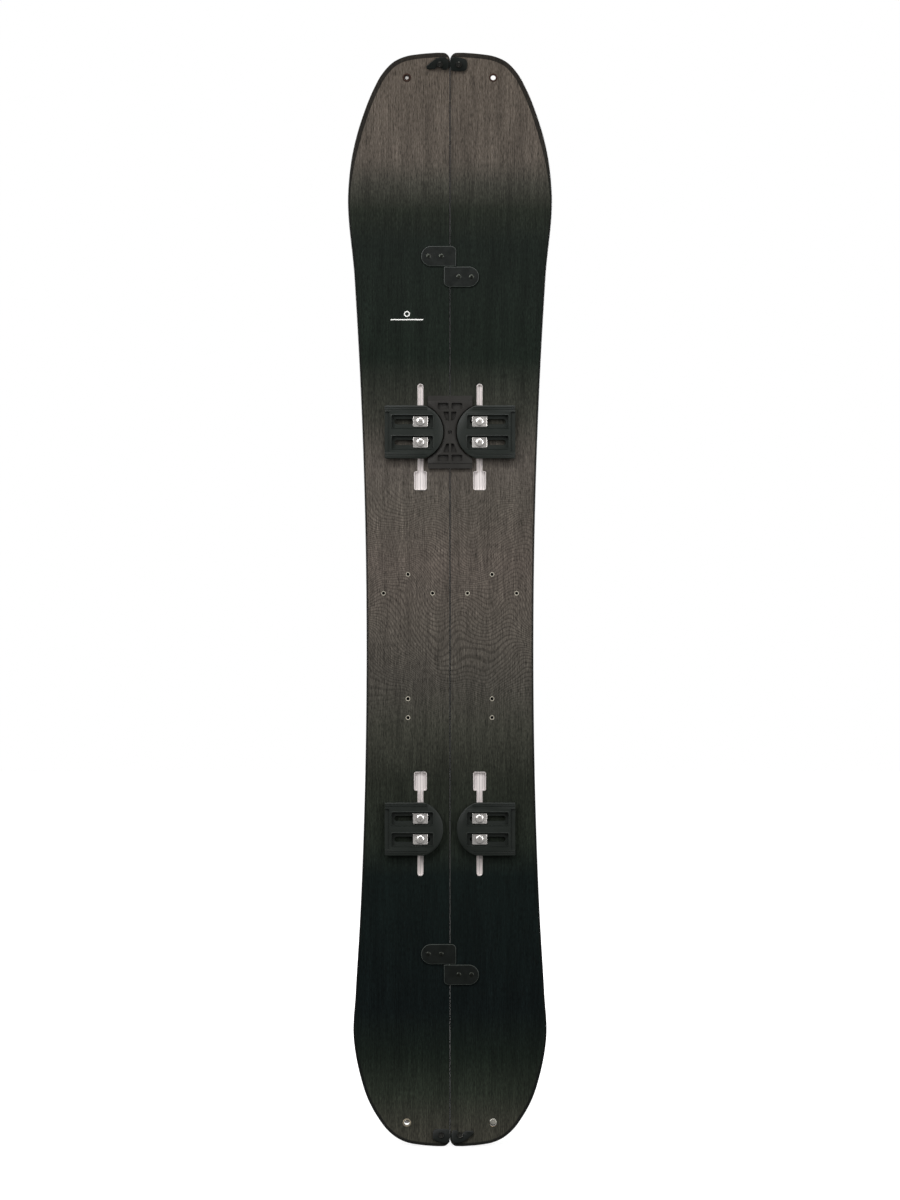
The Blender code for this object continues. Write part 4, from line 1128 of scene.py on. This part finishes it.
def clip_bolt(name, node, where, z):
    """A flanged bolt with a raised lip and a hexagon socket; its end shows in the tip plate."""
    top = CLIP_HEIGHT
    end = -thickness(z) + 0.0002
    profile = [
        (0, top + 0.0010), (0.0022, top + 0.0010), (0.0026, top + 0.0013), (0.0030, top + 0.0021),
        (0.0036, top + 0.0022), (0.0042, top + 0.0017), (0.0046, top + 0.0010),
        (0.0046, top + 0.0002), (CLIP_BOLT_RADIUS, top + 0.0002), (CLIP_BOLT_RADIUS, end + 0.0003),
        (CLIP_BOLT_RADIUS - 0.0003, end), (0, end),
    ]
    bolt = finish_mesh(name, lathe(bmesh.new(), profile), ["clip_bolt"])
    socket = bmesh.new()
    stack(socket, circle((0, 0), 0.0016, 6), [(0.0003, top - 0.001), (0, top + 0.002)])
    stack(socket, circle((0, 0), 0.0012, 6), [(0, end - 0.001), (0, end + 0.0012)])
    combine(bolt, socket)
    stands_for(bolt, node, where)


def make_clip(end):
    """The lever, its keeper and their two bolts. The tail's clip is the nose's turned half round."""
    turn = 0.0 if end == "nose" else math.pi
    z = CLIP_Z[end]
    lever_side = -1 if end == "nose" else 1
    pivot = top_frame(z, lever_side * CLIP_PIVOT_X, turn)
    low, high = CLIP_TONGUE
    body = rounded([
        (0.0122, -0.0072, 0.0030), (0.0128, 0.0066, 0.0030), (0.0078, 0.0116, 0.0030),
        (-0.0052, 0.0092, 0.006), (-0.0105, 0.0056, 0.003), (-CLIP_ARM, -0.0030, 0.0014),
        (-CLIP_ARM + 0.0014, -0.0066, 0.0014), (-0.0078, -0.0068, 0.0022),
        (-0.0040, -0.0034, 0.0030), (0.0020, -0.0044, 0.0030), (0.0050, -0.0078, 0.0020),
    ], 6)
    levels = crisp(LEVER_LIFT, CLIP_HEIGHT, 0.0007)
    lever = stacked(f"{end}_clip_lever_body", body, levels, ["hook_plate"])
    tongue = bmesh.new()
    reach = CLIP_PIVOT_X + 0.0032
    stack(tongue, box_outline((0.004, reach), (-0.0034, 0.0034), 0.001, 3), crisp(low, high, 0.0002))
    combine(lever, tongue, "UNION")
    tools = bmesh.new()
    bar(tools, CLIP_BORE_RADIUS, -0.001, 0.01)
    stack(tools, rounded([(-0.0185, -0.0042, 0.0006), (-0.0120, -0.0042, 0.0006),
                          (-0.0120, 0.0022, 0.0006), (-0.0172, -0.0018, 0.0006)], 3),
          [(0.0003, CLIP_HEIGHT - 0.0006), (0, CLIP_HEIGHT + 0.001)])
    combine(lever, tools)
    stands_for(lever, f"{end}_clip_lever", pivot)

    seat = top_frame(z, -lever_side * CLIP_KEEPER_BOLT_X, turn)
    near, far = -CLIP_KEEPER_BOLT_X + 0.0005, 0.0128
    outline = rounded([(near, -0.0080, 0.0012), (near + 0.006, -0.0096, 0.004),
                       (far - 0.001, -0.0096, 0.0055), (far, 0.0072, 0.0060),
                       (0.0020, 0.0096, 0.006), (-0.0050, 0.0116, 0.003), (near, 0.0100, 0.0012)], 8)
    levels = crisp(GAP, CLIP_HEIGHT, 0.0007)
    keeper = stacked(f"{end}_clip_keeper_block", outline, levels, ["hook_plate"])
    tools = bmesh.new()
    stack(tools, box_outline((near - 0.001, near + 0.0062), (-0.02, 0.02), 0),
          [(0, low - GAP), (0, high + GAP)])
    bar(tools, CLIP_BORE_RADIUS, -0.001, 0.01)
    combine(keeper, tools)
    stands_for(keeper, f"{end}_clip_keeper", seat)
    clip_bolt(f"{end}_lever_pivot_bolt", f"{end}_clip_lever_bolt", pivot, z)
    clip_bolt(f"{end}_keeper_fixing_bolt", f"{end}_clip_keeper_bolt", seat, z)


# ---- tracks, pucks and their screws ----
def make_track(end, name, side):
    floor = TRACK_FLOOR - TRACK_DEPTH
    levels = [
        (0, -TRACK_DEPTH), (0, -0.0003), (0.0003, 0.0), (0.0008, 0.0), (0.0011, -0.0004),
        (0.0011, floor + 0.0006), (0.0015, floor),
    ]
    track = stacked(f"{name}_{end}_channel", keyhole(end), levels, ["track_metal"])
    node = f"{name}_{end}_track"
    stands_for(track, node, track_frame(end, side))


def puck_plan(half_height, inset):
    """Plan of a right-hand puck about its centre line: straight outer end, round seam end."""
    radius = PUCK_ARC_RADIUS - inset
    centre = PUCK_INNER_X + PUCK_ARC_RADIUS
    lean = math.asin(half_height / radius)
    round_end = arc((centre, 0), radius, math.pi + lean, math.pi - lean, 48)
    outer = PUCK_OUTER_X - inset
    corners = rounded([
        (centre, half_height, 0), (outer, half_height, 0.002), (outer, -half_height, 0.002),
        (centre, -half_height, 0),
    ], 4)[1:-1]
    return round_end + corners


def make_puck(end, name, side):
    height = PUCK_HEIGHT
    levels = [(0.0004, RAIL_UNDERSIDE), (0, RAIL_UNDERSIDE + 0.0004)] + crisp(0, height, 0.0009)[1:]
    plan = mirrored(puck_plan(PUCK_HALF, 0), side)
    puck = stacked(f"{name}_{end}_puck_body", plan, levels, ["nylon"])
    added = bmesh.new()
    stack(added, mirrored(puck_plan(PUCK_WAIST_HALF, 0.0012), side),
          [(0.0003, 0.0003), (0, 0.0008), (0, RAIL_UNDERSIDE + 0.0010)])
    combine(puck, added, "UNION")
    near, far = POCKET_X
    offsets = (-SCREW_PITCH / 2, SCREW_PITCH / 2)
    rims = bmesh.new()
    for offset in offsets:
        rim = box_outline(side_range(side, near - 0.0016, far + 0.0016),
                          (offset - POCKET_HALF - 0.0016, offset + POCKET_HALF + 0.0016), 0.0026)
        stack(rims, rim, crisp(height - 0.001, height + 0.0006, 0.0004))
    combine(puck, rims, "UNION")
    tools = bmesh.new()
    for offset in offsets:
        pocket = box_outline(side_range(side, near, far),
                             (offset - POCKET_HALF, offset + POCKET_HALF), 0.0018)
        stack(tools, pocket, [(0, POCKET_FLOOR), (0, height + 0.0002), (-0.0004, height + 0.0007),
                              (-0.0004, height + 0.002)])
    for edge in (-1, 1):
        for out in (0.0030, 0.0056):
            line = sorted((edge * (PUCK_HALF - out), edge * (PUCK_HALF - out - 0.0011)))
            outline = box_outline(side_range(side, 0.0335, PUCK_OUTER_X + 0.001), line, 0.0004, 2)
            stack(tools, outline, [(0.0002, height - 0.0011), (0, height + 0.001)])
    step = box_outline(side_range(side, 0.0900, PUCK_OUTER_X + 0.002), (-0.0300, 0.0300), 0.001, 3)
    stack(tools, step, [(0.0003, height - 0.0030), (0, height + 0.001)])
    combine(puck, tools)
    slots = bmesh.new()
    for offset in offsets:
        slot = box_outline(side_range(side, near + 0.004, far - 0.004),
                           (offset - SLOT_HALF, offset + SLOT_HALF), SLOT_HALF * 0.98)
        stack(slots, slot, [(0, -0.001), (0, POCKET_FLOOR - 0.0004), (-0.0005, POCKET_FLOOR + 0.0002),
                            (-0.0005, POCKET_FLOOR + 0.0010)])
    combine(puck, slots)
    node = f"{name}_{end}_puck"
    stands_for(puck, node, top_frame(PUCK_Z[end]))
    for number, offset in enumerate((SCREW_PITCH / 2, -SCREW_PITCH / 2), 1):
        screw_frame = top_frame(PUCK_Z[end] + offset, side * TRACK_X)
        make_puck_screw(f"{name}_{end}_puck", number, screw_frame)


def cross_recess(size, depth, top):
    """Tools for a tapered cross recess."""
    tools = bmesh.new()
    for turn in (0, math.pi / 2):
        where = Matrix.Rotation(math.radians(20) + turn, 4, "Z")
        blade = box_outline((-size, size), (-size * 0.24, size * 0.24), size * 0.1, 2)
        stack(tools, blade, [(size * 0.12, top - depth), (0, top + 0.001)], where)
    return tools


def screw_mesh(name, profile, size, depth, material):
    """A screw in its own frame, with a cross recess in its head."""
    screw = finish_mesh(name, lathe(bmesh.new(), profile), [material])
    top = max(height for radius, height in profile)
    combine(screw, cross_recess(size, depth, top), sharp=30, crossing=True)
    return only_mesh(screw)


def puck_screw_mesh():
    """Pan-head screw; its origin is on the topsheet."""
    seat = POCKET_FLOOR + GAP + WASHER_THICKNESS
    profile = [(0, seat + 0.0030)] + dome(0.0063, seat + 0.0012, 0.0018, 72, 6) + [
        (0.0063, seat + 0.0002), (0.0030, seat + 0.0002), (0.0030, 0.0012 - TRACK_DEPTH + 0.0003),
        (0.0027, 0.0012 - TRACK_DEPTH), (0, 0.0012 - TRACK_DEPTH),
    ]
    return screw_mesh("puck_screw", profile, 0.0036, 0.0021, "bright_steel")


def washer_mesh():
    """Square washer with grip lines; its origin is on the topsheet."""
    low = POCKET_FLOOR + GAP
    half_x, half_y = (size / 2 for size in WASHER_SIZE)
    margin, pitch = 0.0016, 0.0011
    washer = stacked(
        "washer", box_outline((-half_x, half_x), (-half_y, half_y), 0.0014, 4),
        [(0.0003, low), (0, low + 0.0003)] + crisp(0, low + WASHER_THICKNESS, 0.0004)[1:],
        ["bright_steel"])
    tools = bar(bmesh.new(), 0.0033, 0, THROUGH)
    for edge in (-1, 1):
        for line in range(3):
            x = edge * (half_x - margin - line * pitch)
            outline = box_outline((x - 0.0003, x + 0.0003), (margin - half_y, half_y - margin), 0)
            stack(tools, outline, [(0, low + WASHER_THICKNESS - 0.0003), (0, THROUGH)])
    combine(washer, tools)
    return only_mesh(washer)


def make_puck_screw(prefix, number, where):
    node = f"{prefix}_washer_{number}"
    washer = placed_copy(f"{node}_square", WASHER, where)
    stands_for(washer, node)
    node = f"{prefix}_screw_{number}"
    screw = placed_copy(f"{node}_pan_head", PUCK_SCREW, where)
    stands_for(screw, node)


def make_jig():
    """The guide between the front pucks: a ribbed plate with hollow pockets."""
    radius = PUCK_ARC_RADIUS + JIG_CLEARANCE
    centre = PUCK_INNER_X + PUCK_ARC_RADIUS
    lean = math.acos((centre - JIG_HALF_WIDTH) / radius)
    right = arc((centre, 0), radius, math.pi + lean, math.pi - lean, 40)
    left = arc((-centre, 0), radius, lean, -lean, 40)
    wide, tall = JIG_HALF_WIDTH, JIG_HALF_LENGTH
    corner = 0.0022
    outline = (
        arc((wide - corner, corner - tall), corner, -math.pi / 2, 0, 4) + right
        + arc((wide - corner, tall - corner), corner, 0, math.pi / 2, 4)
        + arc((corner - wide, tall - corner), corner, math.pi / 2, math.pi, 4) + left
        + arc((corner - wide, corner - tall), corner, math.pi, math.pi * 1.5, 4)
    )
    jig = stacked("puck_jig_body", outline, crisp(GAP, JIG_HEIGHT, 0.0006), ["jig"])
    tools = bmesh.new()
    depth = [(0.0006, 0.0022), (0.0003, JIG_HEIGHT - 0.0004), (0, JIG_HEIGHT + 0.0004)]
    for edge in (-1, 1):
        band = sorted((edge * 0.0460, edge * (tall + 0.002)))
        stack(tools, box_outline((-wide - 0.002, wide + 0.002), band, 0.0005, 2),
              [(0.0003, JIG_HEIGHT - 0.0012), (0, JIG_HEIGHT + 0.001)])
        for across in ((-0.0185, -0.0020), (0.0020, 0.0185)):
            pocket = box_outline(across, sorted((edge * 0.0335, edge * 0.0435)), 0.0022)
            stack(tools, pocket, depth)
        for hand in (-1, 1):
            corners = [(hand * 0.0014, edge * 0.0305, 0.001), (hand * 0.0105, edge * 0.0305, 0.0014),
                       (hand * 0.0062, edge * 0.0175, 0.0014), (hand * 0.0014, edge * 0.0165, 0.001)]
            stack(tools, rounded(corners, 4), depth)
    stack(tools, box_outline((-0.0024, 0.0024), (-0.0024, 0.0024), 0.0005, 3),
          [(0, -0.001), (0, JIG_HEIGHT + 0.001)])
    combine(jig, tools)
    stands_for(jig, "puck_jig", top_frame(PUCK_Z["front"]))


# ---- seam hooks ----
def hook_plan(side, lift, inset, round_steps, corner_steps):
    """Plan of a hook's plate: a round end on its own half, a square tongue over the other."""
    half = HOOK_WIDTH / 2
    reach, near = half - inset, inset - HOOK_TONGUE
    wide, tight = 0.007 - inset, 0.002
    outline = arc((HOOK_LENGTH - half, 0), reach, -math.pi / 2, math.pi / 2, round_steps)
    outline += arc((near + wide, reach - wide), wide, math.pi / 2, math.pi, corner_steps)
    outline += arc((near + tight, tight - reach), tight, math.pi, math.pi * 1.5, 4)
    return [(side * x, lift - side * y) for x, y in outline]


def make_hook(end, name, side):
    """A plate whose tongue reaches over the other half, with a raised rim and two screws."""
    where = top_frame(HOOK_Z[end])
    lift = -side * (HOOK_WIDTH / 2 + HOOK_SPACING)
    hook = stacked(f"{name}_{end}_hook_plate", hook_plan(side, lift, 0, 28, 10),
                   crisp(GAP, HOOK_THICKNESS, 0.0008), ["hook_plate", "hook_rim_highlight"])
    dish = [(0.0016, HOOK_THICKNESS - 0.0011), (0, HOOK_THICKNESS), (0, HOOK_THICKNESS + 0.001)]
    tools = stack(bmesh.new(), hook_plan(side, lift, HOOK_RIM, 24, 8), dish)
    for x in HOOK_SCREWS:
        bar(tools, 0.0024, -0.001, 0.009, Matrix.Translation((side * x, lift, 0)), 24)
    combine(hook, tools)
    # Faces that slope upwards take the lighter coat: a painted highlight on the rim and the dish's slope.
    for face in hook.data.polygons:
        face.material_index = int(0.3 < face.normal.z < 0.97)
    node = f"{name}_{end}_hook"
    stands_for(hook, node, where)
    for number, x in enumerate(HOOK_SCREWS, 1):
        spot = where @ Matrix.Translation((side * x, lift, 0))
        screw = placed_copy(f"{node}_screw_{number}", HOOK_SCREW, spot)
        rides_with(screw, node)


def hook_screw_mesh():
    """Low dome-head screw in a hook's dish; its origin is on the topsheet."""
    seat = HOOK_THICKNESS - 0.0010
    profile = [(0, seat + 0.0016)] + dome(0.0043, seat + 0.0003, 0.0013, 75, 5) + [
        (0.0043, seat), (0.0020, seat), (0.0020, GAP), (0, GAP),
    ]
    return screw_mesh("hook_screw", profile, 0.0026, 0.0012, "dark_steel")


# ---- skin holes ----
def make_eyelet(name, side, end):
    """A bush through a skin hole along Y, with a dished flange that lies on the topsheet."""
    z = HOLE_Z[end]
    outer, inner = 0.0052, 0.0038
    top = depth_at(z, below_top(0)) + 0.0004
    sunk = depth_at(z, above_base(0)) - 0.0014
    bush = Matrix.Translation((side * SKIN_HOLE_X, 0, z)) @ Matrix.Rotation(math.pi / 2, 4, "X")
    profile = [(outer, -sunk), (outer, -top), (inner, -top), (inner, -sunk)]
    mesh = lathe(bmesh.new(), profile, bush)
    eyelet = finish_mesh(name, mesh, ["eyelet"])
    flange = bmesh.new()
    ring = [(0.0038, -0.0012), (0.0038, 0.0002), (0.0041, 0.0006), (0.0050, 0.0008), (0.0060, 0.0005),
            (0.0063, 0.00005), (0.0050, -0.0012)]
    lathe(flange, ring, top_frame(z, side * SKIN_HOLE_X))
    combine(eyelet, flange, "UNION")
    return eyelet


def make_skin_holes():
    for node, side, end in (("left_nose_eyelet", -1, "nose"), ("right_nose_eyelet", 1, "nose"),
                            ("left_tail_eyelet", -1, "tail")):
        eyelet = make_eyelet(f"{node}_bush", side, end)
        stands_for(eyelet, node)
    z = HOLE_Z["tail"]
    where = surface_frame(z, above_base(0.0), SKIN_HOLE_X)
    deep = thickness(z)
    profile = [
        (0, -0.0011), (0.0030, -0.0010), (0.0046, -0.0006), (0.0054, -0.0001), (0.0054, 0.0001),
        (0.0050, 0.0004), (0.0050, deep + 0.0002), (0.0040, deep + 0.0007),
        (0.0022, deep + 0.0007), (0.0019, deep + 0.0003), (0, deep + 0.0003),
    ]
    plug = finish_mesh("right_tail_plug_button", lathe(bmesh.new(), profile, where), ["plug"], 24)
    stands_for(plug, "right_tail_plug")


# ---- climbing skin ----
def skin_sides(z):
    """The skin's seam-side and outer distances at a height; its points narrow above the last."""
    if z <= SKIN[0][2]:
        return SKIN[0][:2]
    for (inner, outer, low), (inner_2, outer_2, high) in zip(SKIN, SKIN[1:]):
        if z <= high:
            t = (z - low) / (high - low)
            return inner + (inner_2 - inner) * t, outer + (outer_2 - outer) * t
    inner, outer, low = SKIN[-1]
    rise_share = (z - low) / (HORN_TOP - low)
    return inner + 0.0042 * rise_share, outer - 0.0042 * rise_share


def make_skin():
    """An open plush surface with thickness, cut round the rubber connector at its top."""
    step = 0.004
    low, high = SKIN[0][2], SKIN[-1][2]
    count = round((high - low) / step)
    notch = (CONNECTOR_X[0] - 0.0006, CONNECTOR_X[1] + 0.0006)
    mesh = bmesh.new()
    rows = []
    for z in spaced(low, high, count) + spaced(high, HORN_TOP, 8)[1:]:
        inner, outer = skin_sides(z)
        columns = spaced(inner, outer, sum(SKIN_COLUMNS))
        if inner <= notch[0] and outer >= notch[1]:
            marks = (inner, *notch, outer)
            columns = [x for start, end, steps in zip(marks, marks[1:], SKIN_COLUMNS)
                       for x in spaced(start, end, steps)[:-1]] + [outer]
        y = depth_at(z, below_base(SKIN_LIFT))
        rows.append([mesh.verts.new((-x, y, z)) for x in columns])
    beside, behind = SKIN_COLUMNS[:2]
    cut = range(beside, beside + behind)
    for i, (row, after) in enumerate(zip(rows, rows[1:])):
        for j in range(len(row) - 1):
            if i < count or j not in cut:
                mesh.faces.new((row[j], row[j + 1], after[j + 1], after[j]))
    loose = [vert for vert in mesh.verts if not vert.link_faces]
    bmesh.ops.delete(mesh, geom=loose, context="VERTS")
    skin = finish_mesh("climbing_skin_plush", mesh, ["plush", "skin_backing"], 50)
    thicken(skin, PILE_THICKNESS, 1, 50, rim=1)
    soften = skin.modifiers.new("soft_edge", "BEVEL")
    soften.width = 0.0005
    soften.segments = 2
    soften.limit_method = "ANGLE"
    soften.angle_limit = math.radians(60)
    apply_modifiers(skin, 50)
    stands_for(skin, "climbing_skin")


def make_connector():
    """Rubber tip piece: a moulded block with a ribbed panel, and a tab up to the pin."""
    low, high = CONNECTOR_Z
    inner, outer = CONNECTOR_X
    middle_z, middle_x = (low + high) / 2, -(inner + outer) / 2
    where = base_frame(middle_z, middle_x)
    half_x, half_y = (outer - inner) / 2, (high - low) / 2
    thick = CONNECTOR_THICKNESS
    outline = rounded([(-half_x, -half_y, 0.0045), (half_x, -half_y, 0.0045),
                       (half_x - 0.001, half_y, 0.0030), (0.001 - half_x, half_y, 0.0030)], 8)
    levels = [(0.0003, 0.0004), (0, 0.0008)] + crisp(0, thick, 0.0010)[1:]
    block = stacked("skin_tip_connector_rubber", outline, levels, ["rubber"], 35)
    tools = bmesh.new()
    panel = box_outline((0.0042 - half_x, half_x - 0.0042), (0.0050 - half_y, half_y - 0.0036), 0.002)
    stack(tools, panel, [(0.0004, thick - 0.0009), (0, thick + 0.0001), (0, thick + 0.001)])
    combine(block, tools, sharp=35)
    added = bmesh.new()
    for rib in range(9):
        x = (rib - 4) * 0.0050
        outline = rounded([(x - 0.0017, -0.0022, 0.0006), (x + 0.0003, -0.0022, 0.0006),
                           (x + 0.0017, 0.0030, 0.0006), (x - 0.0003, 0.0030, 0.0006)], 3)
        stack(added, outline, [(0, thick - 0.0012), (0.0002, thick - 0.0004)])
    hole_up = (HOLE_Z["nose"] - middle_z) * 1.03
    hole_x = SKIN_HOLE_X + middle_x
    tab = rounded([(hole_x - 0.0155, half_y - 0.002, 0.001), (hole_x + 0.0155, half_y - 0.002, 0.001),
                   (hole_x + 0.0060, hole_up + 0.0052, 0.0048),
                   (hole_x - 0.0060, hole_up + 0.0052, 0.0048)], 8)
    stack(added, tab, [(0.0003, 0.0004), (0, 0.0008)] + crisp(0, 0.0026, 0.0006)[1:])
    combine(block, added, "UNION", sharp=35)
    bore = bar(bmesh.new(), 0.0033, -0.01, 0.01, Matrix.Translation((hole_x, hole_up, 0)), 32)
    combine(block, bore, sharp=35)
    stands_for(block, "skin_tip_connector", where)


def make_tip_pin():
    """Round-headed steel pin through the connector into the nose hole."""
    z = HOLE_Z["nose"]
    where = Matrix.Translation((-SKIN_HOLE_X, depth_at(z, above_base(0)), z))
    where = where @ Matrix.Rotation(-math.pi / 2, 4, "X")
    head = CONNECTOR_THICKNESS + 0.0028
    profile = [(0, head + 0.0012)] + dome(0.0044, head - 0.0002, 0.0014, 90, 6)[1:] + [
        (0.0044, head - 0.0006), (0.0030, head - 0.0006), (0.0030, -0.0044), (0.0026, -0.0049),
        (0, -0.0049),
    ]
    pin = finish_mesh("skin_tip_pin_steel", lathe(bmesh.new(), profile), ["bright_steel"], 30)
    slot = bmesh.new()
    blade = box_outline((-0.0050, 0.0050), (-0.0005, 0.0005), 0)
    stack(slot, blade, [(0, head + 0.0006), (0, head + 0.003)],
          Matrix.Rotation(math.radians(35), 4, "Z"))
    combine(pin, slot, sharp=30)
    stands_for(pin, "skin_tip_pin", where)


def make_tail_strap():
    """Elastic strap from under the skin's end to the buckle's bar."""
    low, high = TAIL_STRAP_Z
    steps, ribs = 44, 18
    lifts = [SKIN_LIFT + TAIL_STRAP_THICKNESS - 0.0003 + wave for wave in (0.0, 0.00012)]
    sides = spaced(SKIN_HOLE_X - TAIL_STRAP_HALF, SKIN_HOLE_X + TAIL_STRAP_HALF, ribs * 2)
    mesh = bmesh.new()
    rows = []
    for z in spaced(low, high, steps):
        depths = [depth_at(z, below_base(lift)) for lift in lifts]
        rows.append([mesh.verts.new((-x, depths[j % 2], z)) for j, x in enumerate(sides)])
    for row, after in zip(rows, rows[1:]):
        for j in range(ribs * 2):
            mesh.faces.new((row[j], row[j + 1], after[j + 1], after[j]))
    strap = finish_mesh("skin_tail_strap_webbing", mesh, ["webbing"], 60)
    thicken(strap, WEB_THICKNESS, -1, 60)
    stands_for(strap, "skin_tail_strap")


def make_buckle():
    """A cast forked hook: two arms on the strap's bar, a plate and a hooked tip."""
    centre_z = (BUCKLE_HINGE_Z + HOLE_Z["tail"]) / 2
    where = surface_frame(centre_z, below_base(BUCKLE_LIFT), -SKIN_HOLE_X)
    top = BUCKLE_HINGE_Z - centre_z
    tip = -top + 0.0006
    outline = rounded([
        (-0.0108, top, 0.0007), (-0.0130, top, 0.0010), (-0.0124, top - 0.0120, 0.003),
        (-0.0036, tip + 0.0030, 0.002), (-0.0034, tip - 0.0022, 0.0020),
        (0.0034, tip - 0.0022, 0.0020), (0.0036, tip + 0.0030, 0.002), (0.0124, top - 0.0120, 0.003),
        (0.0130, top, 0.0010), (0.0108, top, 0.0007), (0.0098, top - 0.0088, 0.0028),
        (-0.0098, top - 0.0088, 0.0028),
    ], 6)
    levels = [(0.0006, -0.0026), (0.0002, -0.0024), (0, -0.0018), (0, -0.0006), (0.0003, -0.0002)]
    buckle = stacked("skin_tail_buckle_cast", outline, levels, ["bright_steel"], 35)
    tools = bmesh.new()
    for line in range(3):
        y = top - 0.0135 - line * 0.0028
        wide = 0.0076 - line * 0.0018
        stack(tools, box_outline((-wide, wide), (y - 0.0005, y + 0.0005), 0.0004, 2),
              [(0, -0.0040), (0.0002, -0.0022)])
    combine(buckle, tools, sharp=35)
    added = bmesh.new()
    lathe(added, [(0, -0.0012), (0.0019, -0.0012), (0.0019, 0.0030), (0.0015, 0.0036), (0, 0.0036)],
          Matrix.Translation((0, tip, 0)), 32)
    combine(buckle, added, "UNION", sharp=35)
    stands_for(buckle, "skin_tail_buckle", where)


# ---- the studio ----
def make_world():
    world = bpy.data.worlds.new("studio")
    world.use_nodes = True
    nodes, links = world.node_tree.nodes, world.node_tree.links
    seen = nodes["Background"]
    seen.inputs[0].default_value = (1, 1, 1, 1)
    seen.inputs[1].default_value = 1.0
    around = nodes.new("ShaderNodeBackground")
    around.inputs[0].default_value = (1, 1, 1, 1)
    around.inputs[1].default_value = 0.20
    path = nodes.new("ShaderNodeLightPath")
    mixed = nodes.new("ShaderNodeMixShader")
    links.new(path.outputs["Is Camera Ray"], mixed.inputs[0])
    links.new(around.outputs[0], mixed.inputs[1])
    links.new(seen.outputs[0], mixed.inputs[2])
    links.new(mixed.outputs[0], nodes["World Output"].inputs[0])
    bpy.context.scene.world = world


def make_floor():
    """A pale floor under the tail. Only the camera sees it, so it throws no light on the board."""
    shading = Shading("floor", roughness=0.9)
    shading.set("Base Color", (0.5, 0.5, 0.5, 1.0))
    shading.set("Specular IOR Level", 0.0)
    away = shading.math("MULTIPLY", shading.x, shading.x)
    away = shading.math("SQRT", shading.math("MULTIPLY_ADD", shading.y, shading.y, away))
    shading.set("Emission Color", (1.0, 1.0, 1.0, 1.0))
    shading.set("Emission Strength", shading.between(away, 0.2, 1.4, 0.6, 1.0))
    mesh = bmesh.new()
    bmesh.ops.create_circle(mesh, cap_ends=True, segments=96, radius=FLOOR_RADIUS)
    data = bpy.data.meshes.new("floor")
    mesh.to_mesh(data)
    mesh.free()
    data.materials.append(shading.material)
    floor = bpy.data.objects.new("floor", data)
    for kind in ("diffuse", "glossy", "transmission", "volume_scatter", "shadow"):
        setattr(floor, f"visible_{kind}", False)
    bpy.context.scene.collection.objects.link(floor)


def add_light(name, place, size, energy):
    data = bpy.data.lights.new(name, "AREA")
    data.shape = "RECTANGLE"
    data.size, data.size_y = size
    data.energy = energy
    lamp = bpy.data.objects.new(name, data)
    lamp.location = place
    aim = Vector((0, 0, LENGTH / 2)) - Vector(place)
    lamp.rotation_euler = aim.to_track_quat("-Z", "Y").to_euler()
    lamp.visible_camera = False
    bpy.context.scene.collection.objects.link(lamp)


def make_lights():
    add_light("key", (-2.3, -3.2, 2.6), (1.6, 2.2), 98)
    add_light("fill", (2.6, -3.0, 1.5), (1.4, 2.2), 62)
    add_light("front_top", (0.0, -2.6, 3.6), (2.6, 1.0), 74)
    add_light("back_key", (2.3, 3.2, 2.4), (1.6, 2.2), 92)
    add_light("back_fill", (-2.6, 3.0, 1.6), (1.4, 2.2), 62)
    add_light("top", (0.0, 0.4, 4.0), (2.2, 2.2), 52)


def make_camera():
    """Level with the board's middle, square on to the topsheet, from far off."""
    frame_height = LENGTH * 1.10
    lens = 110
    data = bpy.data.cameras.new("camera")
    data.lens = lens
    camera = bpy.data.objects.new("camera", data)
    distance = frame_height * lens / data.sensor_width
    camera.location = (0, -distance, LENGTH / 2)
    camera.rotation_euler = (math.pi / 2, 0, 0)
    data.clip_end = 100
    bpy.context.scene.collection.objects.link(camera)
    bpy.context.scene.camera = camera


MATERIALS = make_materials()
PUCK_SCREW = puck_screw_mesh()
WASHER = washer_mesh()
HOOK_SCREW = hook_screw_mesh()
INSERT = insert_mesh()
for half_name, half_side in SIDES.items():
    make_topsheet(half_name, half_side)
    make_base(half_name, half_side)
    make_steel_edge(half_name, half_side)
    make_sidewall(half_name, half_side)
    make_inserts(half_name, half_side)
    for material_slot in frame["nodes"][f"{half_name}_core"].material_slots:
        material_slot.material = MATERIALS["wood_core"]
    for place_name in ("front", "rear"):
        make_track(place_name, half_name, half_side)
        make_puck(place_name, half_name, half_side)
    for place_name in ("nose", "tail"):
        make_hook(place_name, half_name, half_side)
        make_tip_plate(place_name, half_name, half_side)
for place_name in ("nose", "tail"):
    make_clip(place_name)
make_jig()
make_skin_holes()
make_skin()
make_connector()
make_tip_pin()
make_tail_strap()
make_buckle()
make_world()
make_floor()
make_lights()
make_camera()
bpy.context.scene.view_settings.view_transform = "Standard"
